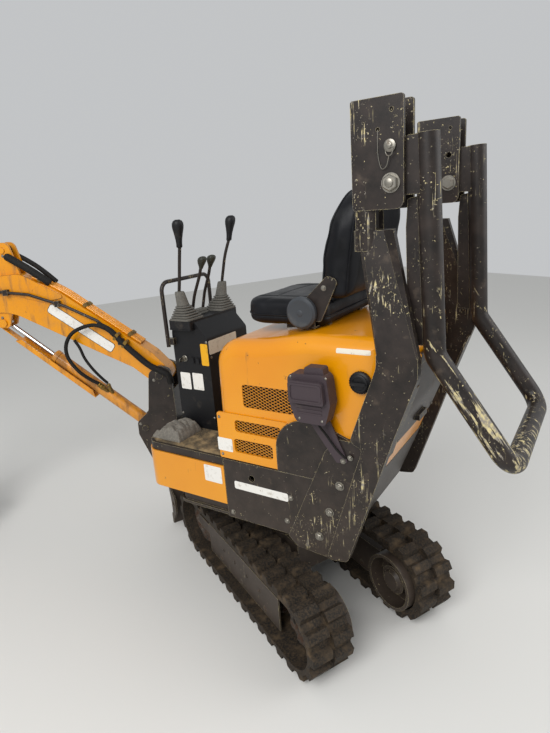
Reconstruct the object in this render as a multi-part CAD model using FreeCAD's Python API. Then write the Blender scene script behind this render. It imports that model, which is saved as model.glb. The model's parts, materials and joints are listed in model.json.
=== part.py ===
import FreeCAD, Part
import math
import os

# A mini excavator on rubber tracks, parked with its roll bar folded down behind it.
# Millimetres. Origin on the ground at the middle of the blade's cutting edge, +X forward,
# +Y left, +Z up. Each piece is drawn about the slewing centre and then moved there.

V = FreeCAD.Vector

# Stance
HOUSE_TURN = 27.0            # the house stands turned to the left of the tracks
BOOM_SWING = 26.0            # the boom stands swung to the left of the house
RUN = 0.05                   # radial clearance of a running pin
SEAT_GAP = 0.3               # gap between soft or curved pieces and what carries them
SIDE_PLAY = 1.0              # play beside a pivot's eye

# Tracks
TRACK_OFFSET = 260.0         # track centre from the machine's centre
SHOE_WIDTH = 180.0
AXLE_REACH = 460.0           # idler and sprocket axles from the slewing centre
BELT_RADIUS = 143.0
BELT_THICKNESS = 18.0
LUG_HEIGHT = 22.0
LUG_FOOT = 50.0
LUG_TOP = 34.0
LUG_ROOT = 4.0               # how deep a lug's foot sits in the round belt
LUG_GAP = 5.0                # half the groove between the two rows of lugs
PITCHES = 36
AXLE_HEIGHT = BELT_RADIUS + LUG_HEIGHT
BELT_INSIDE = BELT_RADIUS - BELT_THICKNESS

# Running gear
WHEEL_GAP = 0.4
SPROCKET_TEETH = 11
SPROCKET_WIDTH = 30.0
TOOTH_DEPTH = 16.0
IDLER_WIDTH = 60.0
IDLER_AXLE = 14.0
ROLLER_RADIUS = 46.0
ROLLER_AXLE = 11.0
ROLLER_STATIONS = (-210.0, 0.0, 210.0)
TOP_ROLLER_RADIUS = 30.0
TOP_ROLLER_WIDTH = 60.0

# Track frame
FRAME_WIDTH = 102.0
FRAME_WALL = 6.0
FRAME_LENGTH = 2 * AXLE_REACH - 260
FRAME_TOP = 215.0
FRAME_BOTTOM = 62.0
RING_RADIUS = 118.0
RING_WALL = 13.0
RING_INBOARD = 140.0         # inboard face of the motor guard ring
MOTOR_RADIUS = 60.0
SLIDE_TUBE = 50.0            # square hole that the track frames slide in
SLIDE_HEIGHT = 205.0
SLIDE_STATION = 150.0
SLIDE_WALL = 5.0

# Car body and slewing ring
CAR_LENGTH = 380.0
CAR_WIDTH = 240.0
CAR_BOTTOM = 165.0
CAR_TOP = 300.0
RING_SEAT = 372.0
SLEW_RADIUS = 205.0
SLEW_FACE = 412.0            # where the turning race begins
RACE_GAP = 0.3

# Blade
BLADE_PIVOT = (250.0, 180.0)
BLADE_ARM_OFFSET = 85.0
BLADE_ARM_WIDTH = 16.0
BLADE_PIN = 12.5
BLADE_HALF_WIDTH = 350.0
BLADE_FACE = 762.0
BLADE_LOW = 0.0              # parked with its edge on the ground
BLADE_HIGH = 235.0
BLADE_PLATE = 10.0
EDGE_BACK = 18.0             # back of the cutting edge behind the blade's face line
EDGE_PLATE = 12.0
TIE_DOWN = 14.0              # radius of the tie-down holes in the blade's end ribs
BLADE_FOOT = (235.0, 285.0)
BLADE_EYE = (560.0, 215.0)
TIE_DOWN_POINT = (742.0, 138.0)

# House frame
DECK_LOW = 470.0
DECK = 12.0
FRAME_FACE = 352.0           # outer face of the side frames
SIDE_FRAME = 12.0
SIDE_FRAME_TOP = 736.0
SIDE_FRAME_LOW = 474.0
SIDE_FRAME_FRONT = 110.0
HOUSE_REAR = -600.0
REAR_BEND = 985.0            # height below which the tail slopes forward
REAR_SLOPE = 0.405
WEIGHT_FRONT = -320.0
KINGPOST = 640.0             # the boom's swing pin from the slewing centre
KINGPOST_RADIUS = 52.0
KINGPOST_LOW = 505.0
KINGPOST_HIGH = 655.0
SWING_PIN = 22.5

# Floor and skirt
FLOOR_LOW = 697.0
FLOOR_TOP = 735.0
MAT = 6.0
FLOOR_FRONT = 560.0
FLOOR_CORNER = 75.0
SKIRT_WALL = 6.0
SKIRT_LOW = 528.0
SKIRT_GAP_HALF = 120.0       # half the opening for the boom swing

# Hood
HOOD_WALL = 4.0
HOOD_HALF = 342.0
HOOD_FRONT = 130.0
HOOD_TOP = 1262.0
HOOD_EDGE = 60.0
TAIL_EDGE = 110.0            # rounding of the hood's rear corners
HOOD_LEDGE = 937.0
PANEL = 6.0
COVER_TOP = HOOD_LEDGE + 19

# Rear door
DOOR_HALF = 222.0
DOOR_LOW = 850.0
DOOR_HINGE = (-612.0, 1160.0)
DOOR_PLATE = 5.0
DOOR_PIN = 4.0

# Roll bar
ROPS_OFFSET = 300.0          # centre of the tubes
ROPS_TUBE = 34.0
HOOP_TUBE = 33.0
ROPS_OUT = 385.0             # outer face of the posts' legs
ROPS_BASE = 10.0
CLEVIS_PLATE = 12.0
CLEVIS_HALF_GAP = 36.0
ROPS_PIVOT = (-600.0, 1725.0)
ROPS_PIN = 15.0
HOOP_LEG = -687.0
HOOP_TOP = 1848.0
HOOP_ELBOW = (-715.0, 1223.0)
HOOP_CORNER = (-950.0, 886.0)
HOOP_BEND = 70.0

# Console and seat
CONSOLE_HALF = 145.0
CAP_HALF = 174.0             # half width of the cap that the joysticks stand on
CUSHION_LOW = 1270.0
CUSHION = 90.0
SEAT_HALF = 230.0

# Boom swing post, in the boom's own plane: r forward from the kingpost, z up
POST_INSIDE = 50.0
POST_PLATE = 16.0
BOOM_FOOT = (70.0, 945.0)
BOOM_CYLINDER_FOOT = (176.0, 674.0)
POST_HUB = 55.0

# Boom
BOOM_HALF = 45.0
BOOM_ROD_PIN = (832.0, 1236.0)
ARM_CYLINDER_FOOT = (767.0, 1582.0)
ARM_PIVOT = (1300.0, 1330.0)
BOOM_PIN = 18.0
LUG_PLATE = 12.0
EYE_HALF = 19.0
LUG_INSIDE = 24.0
DOUBLER = 6.0
PIPE_OFFSET = 62.0           # the side pipes' distance from the boom's middle plane
GUARD_REACH = 41.0           # underside of the rod's guard from the cylinder's centre line
GUARD_HALF = 40.0

# Arm and bucket linkage
ARM_ANGLE = 280.0
ARM_LENGTH = 740.0
HORN_REACH = 170.0
HORN_ANGLE = 53.5
BUCKET_CYLINDER_FOOT = (20.0, 105.0)
TIPPING_PIVOT = (ARM_LENGTH - 190, 15.0)
TIPPING_LINK = 175.0
BUCKET_LINK = 170.0
LINK_CHEEK = 25.0            # inner face of the bucket link's cheeks
EAR_REACH = 115.0
EAR_ANGLE = 100.0            # the ear's direction from the bucket pin, off the arm's own line
FORK_INSIDE = 50.0
FORK_PLATE = 12.0
ARM_HALF = 42.0

# Bucket
BUCKET_HALF = 175.0
BUCKET_WALL = 8.0
BUCKET_RAKE = 130.0          # angle from the ear to the teeth
BUCKET_EAR_INSIDE = 47.0
BUCKET_EAR = 12.0
TEETH = 4


# Places and frames

def placed(x, y, z, turn):
    """A frame at a point, turned about the upright axis."""
    return FreeCAD.Placement(V(x, y, z), FreeCAD.Rotation(V(0, 0, 1), turn))


EDGE_MIDDLE = BLADE_FACE + EDGE_BACK + EDGE_PLATE / 2
GROUND = placed(-EDGE_MIDDLE, 0, 0, 0)
HOUSE = GROUND.multiply(placed(0, 0, 0, HOUSE_TURN))
BOOM_PLANE = HOUSE.multiply(placed(KINGPOST, 0, 0, BOOM_SWING))


def axes_at(origin, angle):
    """Gives a function that turns (along, across, corner radius) at a line into plane values."""
    cosine = math.cos(math.radians(angle))
    sine = math.sin(math.radians(angle))

    def place(along, across, radius=0.0):
        a = origin[0] + along * cosine - across * sine
        b = origin[1] + along * sine + across * cosine
        return (a, b, radius)
    return place


def meeting_point(first, reach_first, second, reach_second):
    """Where two links of given lengths meet, on the left of the line from first to second."""
    span = math.dist(first, second)
    along = (reach_first ** 2 - reach_second ** 2 + span ** 2) / (2 * span)
    across = math.sqrt(reach_first ** 2 - along ** 2)
    bearing = math.degrees(math.atan2(second[1] - first[1], second[0] - first[0]))
    return axes_at(first, bearing)(along, across)[:2]


ARM = axes_at(ARM_PIVOT, ARM_ANGLE)
ARM_HORN = axes_at(ARM_PIVOT, HORN_ANGLE)(HORN_REACH, 0)[:2]
BUCKET_PIN = ARM(ARM_LENGTH, 0)[:2]
BUCKET_FOOT = ARM(*BUCKET_CYLINDER_FOOT)[:2]
TIP_PIVOT = ARM(*TIPPING_PIVOT)[:2]
BUCKET_EAR_PIN = axes_at(BUCKET_PIN, ARM_ANGLE + EAR_ANGLE)(EAR_REACH, 0)[:2]
LINK_PIN = meeting_point(TIP_PIVOT, TIPPING_LINK, BUCKET_EAR_PIN, BUCKET_LINK)
BUCKET = axes_at(BUCKET_PIN, ARM_ANGLE + EAR_ANGLE - BUCKET_RAKE)


# Making shapes

PLANES = {
    "xz": lambda a, b, c: V(a, c, b),
    "xy": lambda a, b, c: V(a, b, c),
    "yz": lambda a, b, c: V(c, a, b),
}


def box(x, y, z):
    """A block between two values on each axis."""
    return Part.makeBox(x[1] - x[0], y[1] - y[0], z[1] - z[0], V(x[0], y[0], z[0]))


def rod(start, end, radius):
    axis = end - start
    return Part.makeCylinder(radius, axis.Length, start, axis)


def cross_pin(point, radius, low, high):
    """A round bar along Y through a point (a, b) of the xz plane."""
    return rod(V(point[0], low, point[1]), V(point[0], high, point[1]), radius)


def rounded_wire(corners, to_space):
    """A closed wire through corners (a, b, radius), each rounded by its radius."""
    points = [V(corner[0], corner[1], 0) for corner in corners]
    count = len(points)
    bends = []
    for i, here in enumerate(points):
        radius = corners[i][2] if len(corners[i]) > 2 else 0
        if radius == 0:
            bends.append((here, None, here))
            continue
        back = (points[i - 1] - here).normalize()
        ahead = (points[(i + 1) % count] - here).normalize()
        half = back.getAngle(ahead) / 2
        cut = radius / math.tan(half)
        to_arc = radius / math.sin(half) - radius
        middle = here + (back + ahead).normalize() * to_arc
        bends.append((here + back * cut, middle, here + ahead * cut))
    edges = []
    for i, (first, middle, last) in enumerate(bends):
        if middle is not None:
            edges.append(Part.Arc(*[to_space(p.x, p.y) for p in (first, middle, last)]).toShape())
        following = bends[(i + 1) % count][0]
        if (following - last).Length > 1e-4:
            ends = [to_space(p.x, p.y) for p in (last, following)]
            edges.append(Part.LineSegment(*ends).toShape())
    return Part.Wire(edges)


def plate(corners, plane, low, high):
    """A flat piece with rounded corners, from low to high across its plane."""
    across = PLANES[plane]
    wire = rounded_wire(corners, lambda a, b: across(a, b, low))
    return Part.Face(wire).extrude(across(0, 0, high) - across(0, 0, low))


def pair_of_plates(corners, inside, thickness):
    """Two equal plates in the xz plane, one on each side of y = 0."""
    left = plate(corners, "xz", inside, inside + thickness)
    right = plate(corners, "xz", -inside - thickness, -inside)
    return [left, right]


def turned(profile, centre, axis):
    """A solid of revolution of (along, radius) points about a line through centre."""
    wire = Part.makePolygon([V(along, radius, 0) for along, radius in profile + profile[:1]])
    solid = Part.Face(wire).revolve(V(0, 0, 0), V(1, 0, 0), 360)
    solid.Placement = FreeCAD.Placement(centre, FreeCAD.Rotation(V(1, 0, 0), axis))
    return solid


def path_of(points, bend):
    """A wire through points, each inner corner rounded by the bend radius."""
    edges = []
    start = points[0]
    for i in range(1, len(points) - 1):
        back = (points[i - 1] - points[i]).normalize()
        ahead = (points[i + 1] - points[i]).normalize()
        half = back.getAngle(ahead) / 2
        cut = bend / math.tan(half)
        middle = points[i] + (back + ahead).normalize() * (bend / math.sin(half) - bend)
        first = points[i] + back * cut
        last = points[i] + ahead * cut
        edges.append(Part.LineSegment(start, first).toShape())
        edges.append(Part.Arc(first, middle, last).toShape())
        start = last
    edges.append(Part.LineSegment(start, points[-1]).toShape())
    return Part.Wire(edges)


def bent_bar(points, radius, bend):
    """A round bar along points, with arcs of the bend radius at its corners."""
    path = path_of(points, bend)
    ring = Part.Wire(Part.makeCircle(radius, points[0], points[1] - points[0]))
    return path.makePipeShell([ring], True, False)


def joined(pieces):
    """One solid, or several that stand apart, from pieces that touch or overlap."""
    return pieces[0].fuse(pieces[1:]).removeSplitter()


def mirrored(shape):
    """The same piece on the machine's other side."""
    return shape.mirror(V(0, 0, 0), V(0, 1, 0))


def both_sides(shape):
    return Part.makeCompound([shape, mirrored(shape)])


# Undercarriage

def track_place(distance):
    """The frame of a lug at a distance along the belt's outside: X along, Z outward."""
    straight = 2 * AXLE_REACH
    bend = math.pi * BELT_RADIUS
    if distance < straight:
        spot = V(AXLE_REACH - distance, 0, AXLE_HEIGHT - BELT_RADIUS)
        angle = 180
    elif distance < straight + bend:
        angle = 180 + math.degrees((distance - straight) / BELT_RADIUS)
        outward = FreeCAD.Rotation(V(0, 1, 0), angle).multVec(V(0, 0, BELT_RADIUS))
        spot = V(-AXLE_REACH, 0, AXLE_HEIGHT) + outward
    elif distance < 2 * straight + bend:
        spot = V(-AXLE_REACH + distance - straight - bend, 0, AXLE_HEIGHT + BELT_RADIUS)
        angle = 360
    else:
        angle = 360 + math.degrees((distance - 2 * straight - bend) / BELT_RADIUS)
        outward = FreeCAD.Rotation(V(0, 1, 0), angle).multVec(V(0, 0, BELT_RADIUS))
        spot = V(AXLE_REACH, 0, AXLE_HEIGHT) + outward
    return FreeCAD.Placement(spot, FreeCAD.Rotation(V(0, 1, 0), angle))


def belt_loop(radius):
    """Corners of the rounded loop that lies at a radius about both axles."""
    end = AXLE_REACH + radius
    low = AXLE_HEIGHT - radius
    high = AXLE_HEIGHT + radius
    return [(-end, low, radius), (end, low, radius), (end, high, radius), (-end, high, radius)]


def track_left():
    half = SHOE_WIDTH / 2
    low = TRACK_OFFSET - half
    high = TRACK_OFFSET + half
    belt = plate(belt_loop(BELT_RADIUS), "xz", low, high)
    belt = belt.cut(plate(belt_loop(BELT_INSIDE), "xz", low - 1, high + 1))
    section = [(-LUG_FOOT / 2, -LUG_ROOT), (LUG_FOOT / 2, -LUG_ROOT),
               (LUG_TOP / 2, LUG_HEIGHT), (-LUG_TOP / 2, LUG_HEIGHT)]
    # row: first pitch, nearer edge, farther edge
    rows = ((0.0, LUG_GAP, half), (0.5, -half, -LUG_GAP))
    loop = 4 * AXLE_REACH + 2 * math.pi * BELT_RADIUS
    lugs = []
    for first, near, far in rows:
        for i in range(PITCHES):
            lug = plate(section, "xz", TRACK_OFFSET + near, TRACK_OFFSET + far)
            lug.Placement = track_place((i + first) * loop / PITCHES)
            lugs.append(lug)
    return joined([belt] + lugs)


def track_right():
    return mirrored(track_left())


def track_frame_left():
    half = FRAME_WIDTH / 2
    inner = TRACK_OFFSET - half
    outer = TRACK_OFFSET + half
    reach = FRAME_LENGTH / 2
    walls = [box((-reach, reach), (inner, inner + FRAME_WALL), (FRAME_BOTTOM, FRAME_TOP)),
             box((-reach, reach), (outer - FRAME_WALL, outer), (FRAME_BOTTOM, FRAME_TOP)),
             box((-reach, reach), (inner, outer), (FRAME_TOP - 10, FRAME_TOP))]
    tube = SLIDE_TUBE - 2 * SEAT_GAP
    slides = [box((x - tube / 2, x + tube / 2), (60, inner + FRAME_WALL),
                  (SLIDE_HEIGHT - tube / 2, SLIDE_HEIGHT + tube / 2))
              for x in (-SLIDE_STATION, SLIDE_STATION)]
    arm_in = IDLER_WIDTH / 2 + 3
    arm_outline = [(reach - 40, AXLE_HEIGHT - 25), (AXLE_REACH + 30, AXLE_HEIGHT - 28, 26),
                   (AXLE_REACH + 30, AXLE_HEIGHT + 28, 26), (reach - 40, AXLE_HEIGHT + 25)]
    yoke = [plate(arm_outline, "xz", TRACK_OFFSET - arm_in - 10, TRACK_OFFSET - arm_in),
            plate(arm_outline, "xz", TRACK_OFFSET + arm_in, TRACK_OFFSET + arm_in + 10),
            box((reach - 60, reach), (inner, outer), (AXLE_HEIGHT - 25, FRAME_TOP)),
            cross_pin((AXLE_REACH, AXLE_HEIGHT), IDLER_AXLE,
                      TRACK_OFFSET - arm_in - 5, TRACK_OFFSET + arm_in + 5)]
    rear_wall = [(-reach + 20, 90), (-AXLE_REACH, 90), (-AXLE_REACH, FRAME_TOP), (-reach + 20, FRAME_TOP)]
    motor_plate = [plate(rear_wall, "xz", inner, inner + FRAME_WALL),
                   cross_pin((-AXLE_REACH, AXLE_HEIGHT), RING_RADIUS, inner, inner + FRAME_WALL)]
    ring = cross_pin((-AXLE_REACH, AXLE_HEIGHT), RING_RADIUS, RING_INBOARD, inner)
    ring = ring.cut(cross_pin((-AXLE_REACH, AXLE_HEIGHT), RING_RADIUS - RING_WALL,
                              RING_INBOARD - 1, inner))
    top_x = 18
    top_low = TRACK_OFFSET - TOP_ROLLER_WIDTH / 2 - 3
    top_high = TRACK_OFFSET + TOP_ROLLER_WIDTH / 2 + 3
    top_axle = (0, top_roller_height())
    top_bracket = [box((-top_x, top_x), (top_low - 6, top_low), (FRAME_TOP, top_axle[1] + 14)),
                   box((-top_x, top_x), (top_high, top_high + 6), (FRAME_TOP, top_axle[1] + 14))]
    frame = joined(walls + slides + yoke + motor_plate + [ring] + top_bracket)
    holes = [cross_pin((-AXLE_REACH, AXLE_HEIGHT), MOTOR_RADIUS + RUN, inner - 1, inner + 20),
             cross_pin(top_axle, ROLLER_AXLE + RUN, top_low - 7, top_high + 7)]
    for x in ROLLER_STATIONS:
        holes.append(cross_pin((x, roller_height()), ROLLER_AXLE + RUN, inner - 1, outer + 1))
    return frame.cut(holes)


def track_frame_right():
    return mirrored(track_frame_left())


def roller_height():
    return AXLE_HEIGHT - BELT_INSIDE + SEAT_GAP + ROLLER_RADIUS


def top_roller_height():
    return AXLE_HEIGHT + BELT_INSIDE - SEAT_GAP - TOP_ROLLER_RADIUS


def sprockets():
    """Toothed drive wheels at the rear, bolted to the motors' hubs."""
    tip = BELT_INSIDE - WHEEL_GAP
    root = tip - TOOTH_DEPTH
    step = 360.0 / SPROCKET_TEETH
    corners = []
    # share of a tooth step, radius
    tooth = ((-0.36, root), (-0.16, tip), (0.16, tip), (0.36, root))
    for i in range(SPROCKET_TEETH):
        for share, radius in tooth:
            angle = math.radians((i + share) * step)
            corners.append((-AXLE_REACH + radius * math.cos(angle),
                            AXLE_HEIGHT + radius * math.sin(angle)))
    low = TRACK_OFFSET - SPROCKET_WIDTH / 2
    high = TRACK_OFFSET + SPROCKET_WIDTH / 2
    wheel = plate(corners, "xz", low, high)
    dish = cross_pin((-AXLE_REACH, AXLE_HEIGHT), root - 22, TRACK_OFFSET + 4, high + 1)
    hub = cross_pin((-AXLE_REACH, AXLE_HEIGHT), MOTOR_RADIUS - 15, low, high + 8)
    return both_sides(joined([wheel.cut(dish), hub]))


def drive_motors():
    """Round travel motors that stand inside the guard rings."""
    low = RING_INBOARD + 15
    high = TRACK_OFFSET - SPROCKET_WIDTH / 2
    profile = [(0, 0), (0, 38), (14, MOTOR_RADIUS - 12), (14, MOTOR_RADIUS), (high - low, MOTOR_RADIUS),
               (high - low, 0)]
    return both_sides(turned(profile, V(-AXLE_REACH, low, AXLE_HEIGHT), V(0, 1, 0)))


def idlers():
    """Plain wheels at the front, with a raised rim on each side of a groove."""
    radius = BELT_INSIDE - WHEEL_GAP
    half = IDLER_WIDTH / 2
    bore = IDLER_AXLE + RUN
    profile = [(-half, bore), (-half, 40), (-half + 12, 44), (-half + 12, radius - 26),
               (-half, radius - 22), (-half, radius - 8), (-half + 10, radius), (half - 10, radius),
               (half, radius - 8), (half, radius - 22), (half - 12, radius - 26), (half - 12, 44),
               (half, 40), (half, bore)]
    return both_sides(turned(profile, V(AXLE_REACH, TRACK_OFFSET, AXLE_HEIGHT), V(0, 1, 0)))


def track_rollers():
    """Three flanged rollers under each track frame and one on top."""
    reach = FRAME_WIDTH / 2
    rollers = []
    # roller: x, height, radius, half width, groove depth
    for x in ROLLER_STATIONS:
        rollers.append((x, roller_height(), ROLLER_RADIUS, 40, 10))
    rollers.append((0, top_roller_height(), TOP_ROLLER_RADIUS, TOP_ROLLER_WIDTH / 2, 4))
    solids = []
    for x, height, radius, half, groove in rollers:
        profile = [(-reach, 0), (-reach, ROLLER_AXLE), (-half, ROLLER_AXLE), (-half, radius),
                   (-half * 0.4, radius), (-half * 0.3, radius - groove),
                   (half * 0.3, radius - groove), (half * 0.4, radius), (half, radius),
                   (half, ROLLER_AXLE), (reach, ROLLER_AXLE), (reach, 0)]
        solids.append(turned(profile, V(x, TRACK_OFFSET, height), V(0, 1, 0)))
    return both_sides(Part.makeCompound(solids))


def car_body():
    """The centre of the undercarriage, with its sleeves, blade lugs and slewing ring seat."""
    half = CAR_LENGTH / 2
    body = box((-half, half), (-CAR_WIDTH / 2, CAR_WIDTH / 2), (CAR_BOTTOM, CAR_TOP))
    sleeve = SLIDE_TUBE / 2 + SLIDE_WALL
    sleeve_end = CAR_WIDTH / 2 + 30
    pieces = [body]
    holes = []
    for x in (-SLIDE_STATION, SLIDE_STATION):
        pieces.append(box((x - sleeve, x + sleeve), (-sleeve_end, sleeve_end),
                          (SLIDE_HEIGHT - sleeve, SLIDE_HEIGHT + sleeve)))
        holes.append(box((x - SLIDE_TUBE / 2, x + SLIDE_TUBE / 2), (-sleeve_end - 1, sleeve_end + 1),
                         (SLIDE_HEIGHT - SLIDE_TUBE / 2, SLIDE_HEIGHT + SLIDE_TUBE / 2)))
    cone = [(0, 0), (0, 150), (38, 158), (RING_SEAT - CAR_TOP - 18, SLEW_RADIUS),
            (RING_SEAT - CAR_TOP, SLEW_RADIUS),
            (RING_SEAT - CAR_TOP, SLEW_RADIUS - 5), (SLEW_FACE - CAR_TOP, SLEW_RADIUS - 5),
            (SLEW_FACE - CAR_TOP, 0)]
    pieces.append(turned(cone, V(0, 0, CAR_TOP), V(0, 0, 1)))
    body = joined(pieces).cut(holes)
    x, z = BLADE_PIVOT
    lug = [(half - 5, z - 22), (x + 25, z - 25, 24), (x + 25, z + 25, 24), (half - 5, z + 30)]
    arm_in = BLADE_ARM_OFFSET - BLADE_ARM_WIDTH / 2 - SIDE_PLAY
    arm_out = BLADE_ARM_OFFSET + BLADE_ARM_WIDTH / 2 + SIDE_PLAY
    lugs = []
    for side in (1, -1):
        low, high = sorted((side * (arm_in - 16), side * arm_in))
        lugs.append(plate(lug, "xz", low, high))
        low, high = sorted((side * arm_out, side * (arm_out + 14)))
        lugs.append(plate(lug, "xz", low, high))
        low, high = sorted((side * (arm_in - 16), side * (arm_out + 14)))
        lugs.append(cross_pin(BLADE_PIVOT, BLADE_PIN, low, high))
    foot_x, foot_z = BLADE_FOOT
    foot = [(half - 5, foot_z - 45), (foot_x + 22, foot_z - 24, 20), (foot_x + 22, foot_z + 22, 20),
            (half - 5, CAR_TOP)]
    lugs += pair_of_plates(foot, EYE_HALF, LUG_PLATE)
    lugs.append(cross_pin(BLADE_FOOT, 10, -EYE_HALF - LUG_PLATE, EYE_HALF + LUG_PLATE))
    return joined([body] + lugs)


# Cylinders

def cylinder_pair(foot, eye, sizes):
    """A hydraulic cylinder's barrel and rod, in the xz plane at y = 0.

    sizes: a row of the table of cylinder sizes.
    """
    barrel_radius, rod_radius, barrel_length, rod_length, eye_radius, pin_radius, pin_reach = sizes
    span = math.dist(foot, eye)
    angle = math.degrees(math.atan2(eye[1] - foot[1], eye[0] - foot[0]))
    line = FreeCAD.Placement(V(foot[0], 0, foot[1]), FreeCAD.Rotation(V(0, 1, 0), -angle))
    half = EYE_HALF - SIDE_PLAY
    along = V(1, 0, 0)
    wall = 5.0
    gland = 26.0
    base = eye_radius + 8
    neck = half - 1
    shell = [(eye_radius * 0.7, 0), (eye_radius * 0.7, neck), (base, neck), (base + 5, barrel_radius),
             (barrel_length - gland, barrel_radius), (barrel_length - gland, barrel_radius + 3),
             (barrel_length - 4, barrel_radius + 3), (barrel_length, barrel_radius - 2),
             (barrel_length, rod_radius + RUN), (barrel_length - gland, rod_radius + RUN),
             (barrel_length - gland, barrel_radius - wall), (base + 8, barrel_radius - wall),
             (base + 8, 0)]
    barrel = turned(shell, V(0, 0, 0), along)
    barrel = joined([barrel, cross_pin((0, 0), eye_radius, -half, half)])
    barrel = barrel.cut(cross_pin((0, 0), pin_radius + RUN, -half - 1, half + 1))
    back = span - rod_length
    piston = 25.0
    bar = [(back, 0), (back, barrel_radius - wall - RUN), (back + piston, barrel_radius - wall - RUN),
           (back + piston, rod_radius), (span - eye_radius + 4, rod_radius), (span - eye_radius + 4, 0)]
    moving = joined([turned(bar, V(0, 0, 0), along), cross_pin((span, 0), eye_radius, -half, half),
                     cross_pin((span, 0), pin_radius, -pin_reach, pin_reach)])
    barrel.Placement = line
    moving.Placement = line
    return barrel, moving


# Cylinder sizes: barrel radius, rod radius, barrel length, rod length, eye radius, pin radius,
# and how far the rod's pin reaches to each side
BLADE_CYLINDER = (25.0, 12.0, 240.0, 240.0, 19.0, 10.0, 23.0)
BOOM_CYLINDER = (30.0, 12.5, 585.0, 600.0, 25.0, 15.0, 23.0)
ARM_CYLINDER = (28.0, 12.5, 400.0, 412.0, 25.0, 15.0, 49.0)
BUCKET_SPAN = math.dist(BUCKET_FOOT, LINK_PIN)
BUCKET_CYLINDER = (27.0, 12.5, BUCKET_SPAN - 154, BUCKET_SPAN - 154, 24.0, 14.0, 24.0)


def blade_cylinder_barrel():
    return cylinder_pair(BLADE_FOOT, BLADE_EYE, BLADE_CYLINDER)[0]


def blade_cylinder_rod():
    return cylinder_pair(BLADE_FOOT, BLADE_EYE, BLADE_CYLINDER)[1]


def boom_cylinder_barrel():
    return cylinder_pair(BOOM_CYLINDER_FOOT, BOOM_ROD_PIN, BOOM_CYLINDER)[0]


def boom_cylinder_rod():
    return cylinder_pair(BOOM_CYLINDER_FOOT, BOOM_ROD_PIN, BOOM_CYLINDER)[1]


def arm_cylinder_barrel():
    return cylinder_pair(ARM_CYLINDER_FOOT, ARM_HORN, ARM_CYLINDER)[0]


def arm_cylinder_rod():
    return cylinder_pair(ARM_CYLINDER_FOOT, ARM_HORN, ARM_CYLINDER)[1]


def bucket_cylinder_barrel():
    return cylinder_pair(BUCKET_FOOT, LINK_PIN, BUCKET_CYLINDER)[0]


def bucket_cylinder_rod():
    return cylinder_pair(BUCKET_FOOT, LINK_PIN, BUCKET_CYLINDER)[1]


# Blade

def blade():
    """The dozer blade on its two arms."""
    x, z = BLADE_PIVOT
    arm = [(x - 22, z - 22, 21), (x - 22, z + 22, 21), (x + 50, z + 24, 30), (BLADE_FACE, 170),
           (BLADE_FACE, 70), (x + 300, 110, 60), (x + 40, z - 24, 30)]
    pieces = []
    for side in (1, -1):
        low, high = sorted((side * (BLADE_ARM_OFFSET - BLADE_ARM_WIDTH / 2),
                            side * (BLADE_ARM_OFFSET + BLADE_ARM_WIDTH / 2)))
        pieces.append(plate(arm, "xz", low, high))
    middle = (BLADE_LOW + BLADE_HIGH) / 2
    hollow = 14.0
    lip = 22.0
    back = [V(BLADE_FACE + hollow, 0, BLADE_LOW), V(BLADE_FACE - 2, 0, middle), V(BLADE_FACE + lip, 0, BLADE_HIGH)]
    shift = V(BLADE_PLATE + 2, 0, 0)
    front = [point + shift for point in back]
    edges = [Part.Arc(*back).toShape(), Part.LineSegment(back[2], front[2]).toShape(),
             Part.Arc(front[2], front[1], front[0]).toShape(), Part.LineSegment(front[0], back[0]).toShape()]
    board = Part.Face(Part.Wire(edges)).extrude(V(0, 2 * BLADE_HALF_WIDTH, 0))
    board.translate(V(0, -BLADE_HALF_WIDTH, 0))
    edge_x = BLADE_FACE + EDGE_BACK
    edge = box((edge_x, edge_x + EDGE_PLATE), (-BLADE_HALF_WIDTH, BLADE_HALF_WIDTH), (BLADE_LOW, BLADE_LOW + 60))
    rib = [(BLADE_FACE - 46, middle - 20, 10), (BLADE_FACE - 46, middle + 60, 20),
           (BLADE_FACE + 22, BLADE_HIGH - 4), (BLADE_FACE + 6, middle), (BLADE_FACE + 14, BLADE_LOW + 20)]
    reach = BLADE_HALF_WIDTH
    for low in (-reach, -BLADE_ARM_OFFSET - 100, BLADE_ARM_OFFSET + 90, reach - 10):
        pieces.append(plate(rib, "xz", low, low + 10))
    spread = BLADE_ARM_OFFSET + BLADE_ARM_WIDTH / 2
    eye_x, eye_z = BLADE_EYE
    pieces.append(box((eye_x - 25, eye_x + 35), (-spread, spread), (eye_z - 70, eye_z - 36)))
    bracket = [(eye_x - 25, eye_z - 40), (eye_x + 35, eye_z - 40), (eye_x + 24, eye_z + 22, 18),
               (eye_x - 24, eye_z + 22, 18)]
    pieces += pair_of_plates(bracket, LUG_INSIDE, LUG_PLATE)
    for side in (1, -1):
        outside = side * (LUG_INSIDE + LUG_PLATE)
        low, high = sorted((outside, outside + side * 6))
        pieces.append(cross_pin(BLADE_EYE, 15, low, high))
    shape = joined(pieces + [board, edge])
    holes = [cross_pin(BLADE_PIVOT, BLADE_PIN + RUN, -spread - 1, spread + 1)]
    for low in (-reach - 1, reach - 11):
        holes.append(cross_pin(TIE_DOWN_POINT, TIE_DOWN, low, low + 12))
    return shape.cut(holes)


# House frame

def rear_at(height):
    """Where the tail stands at a height: upright above its bend, sloped forward below it."""
    return HOUSE_REAR + REAR_SLOPE * max(0, REAR_BEND - height)


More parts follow.
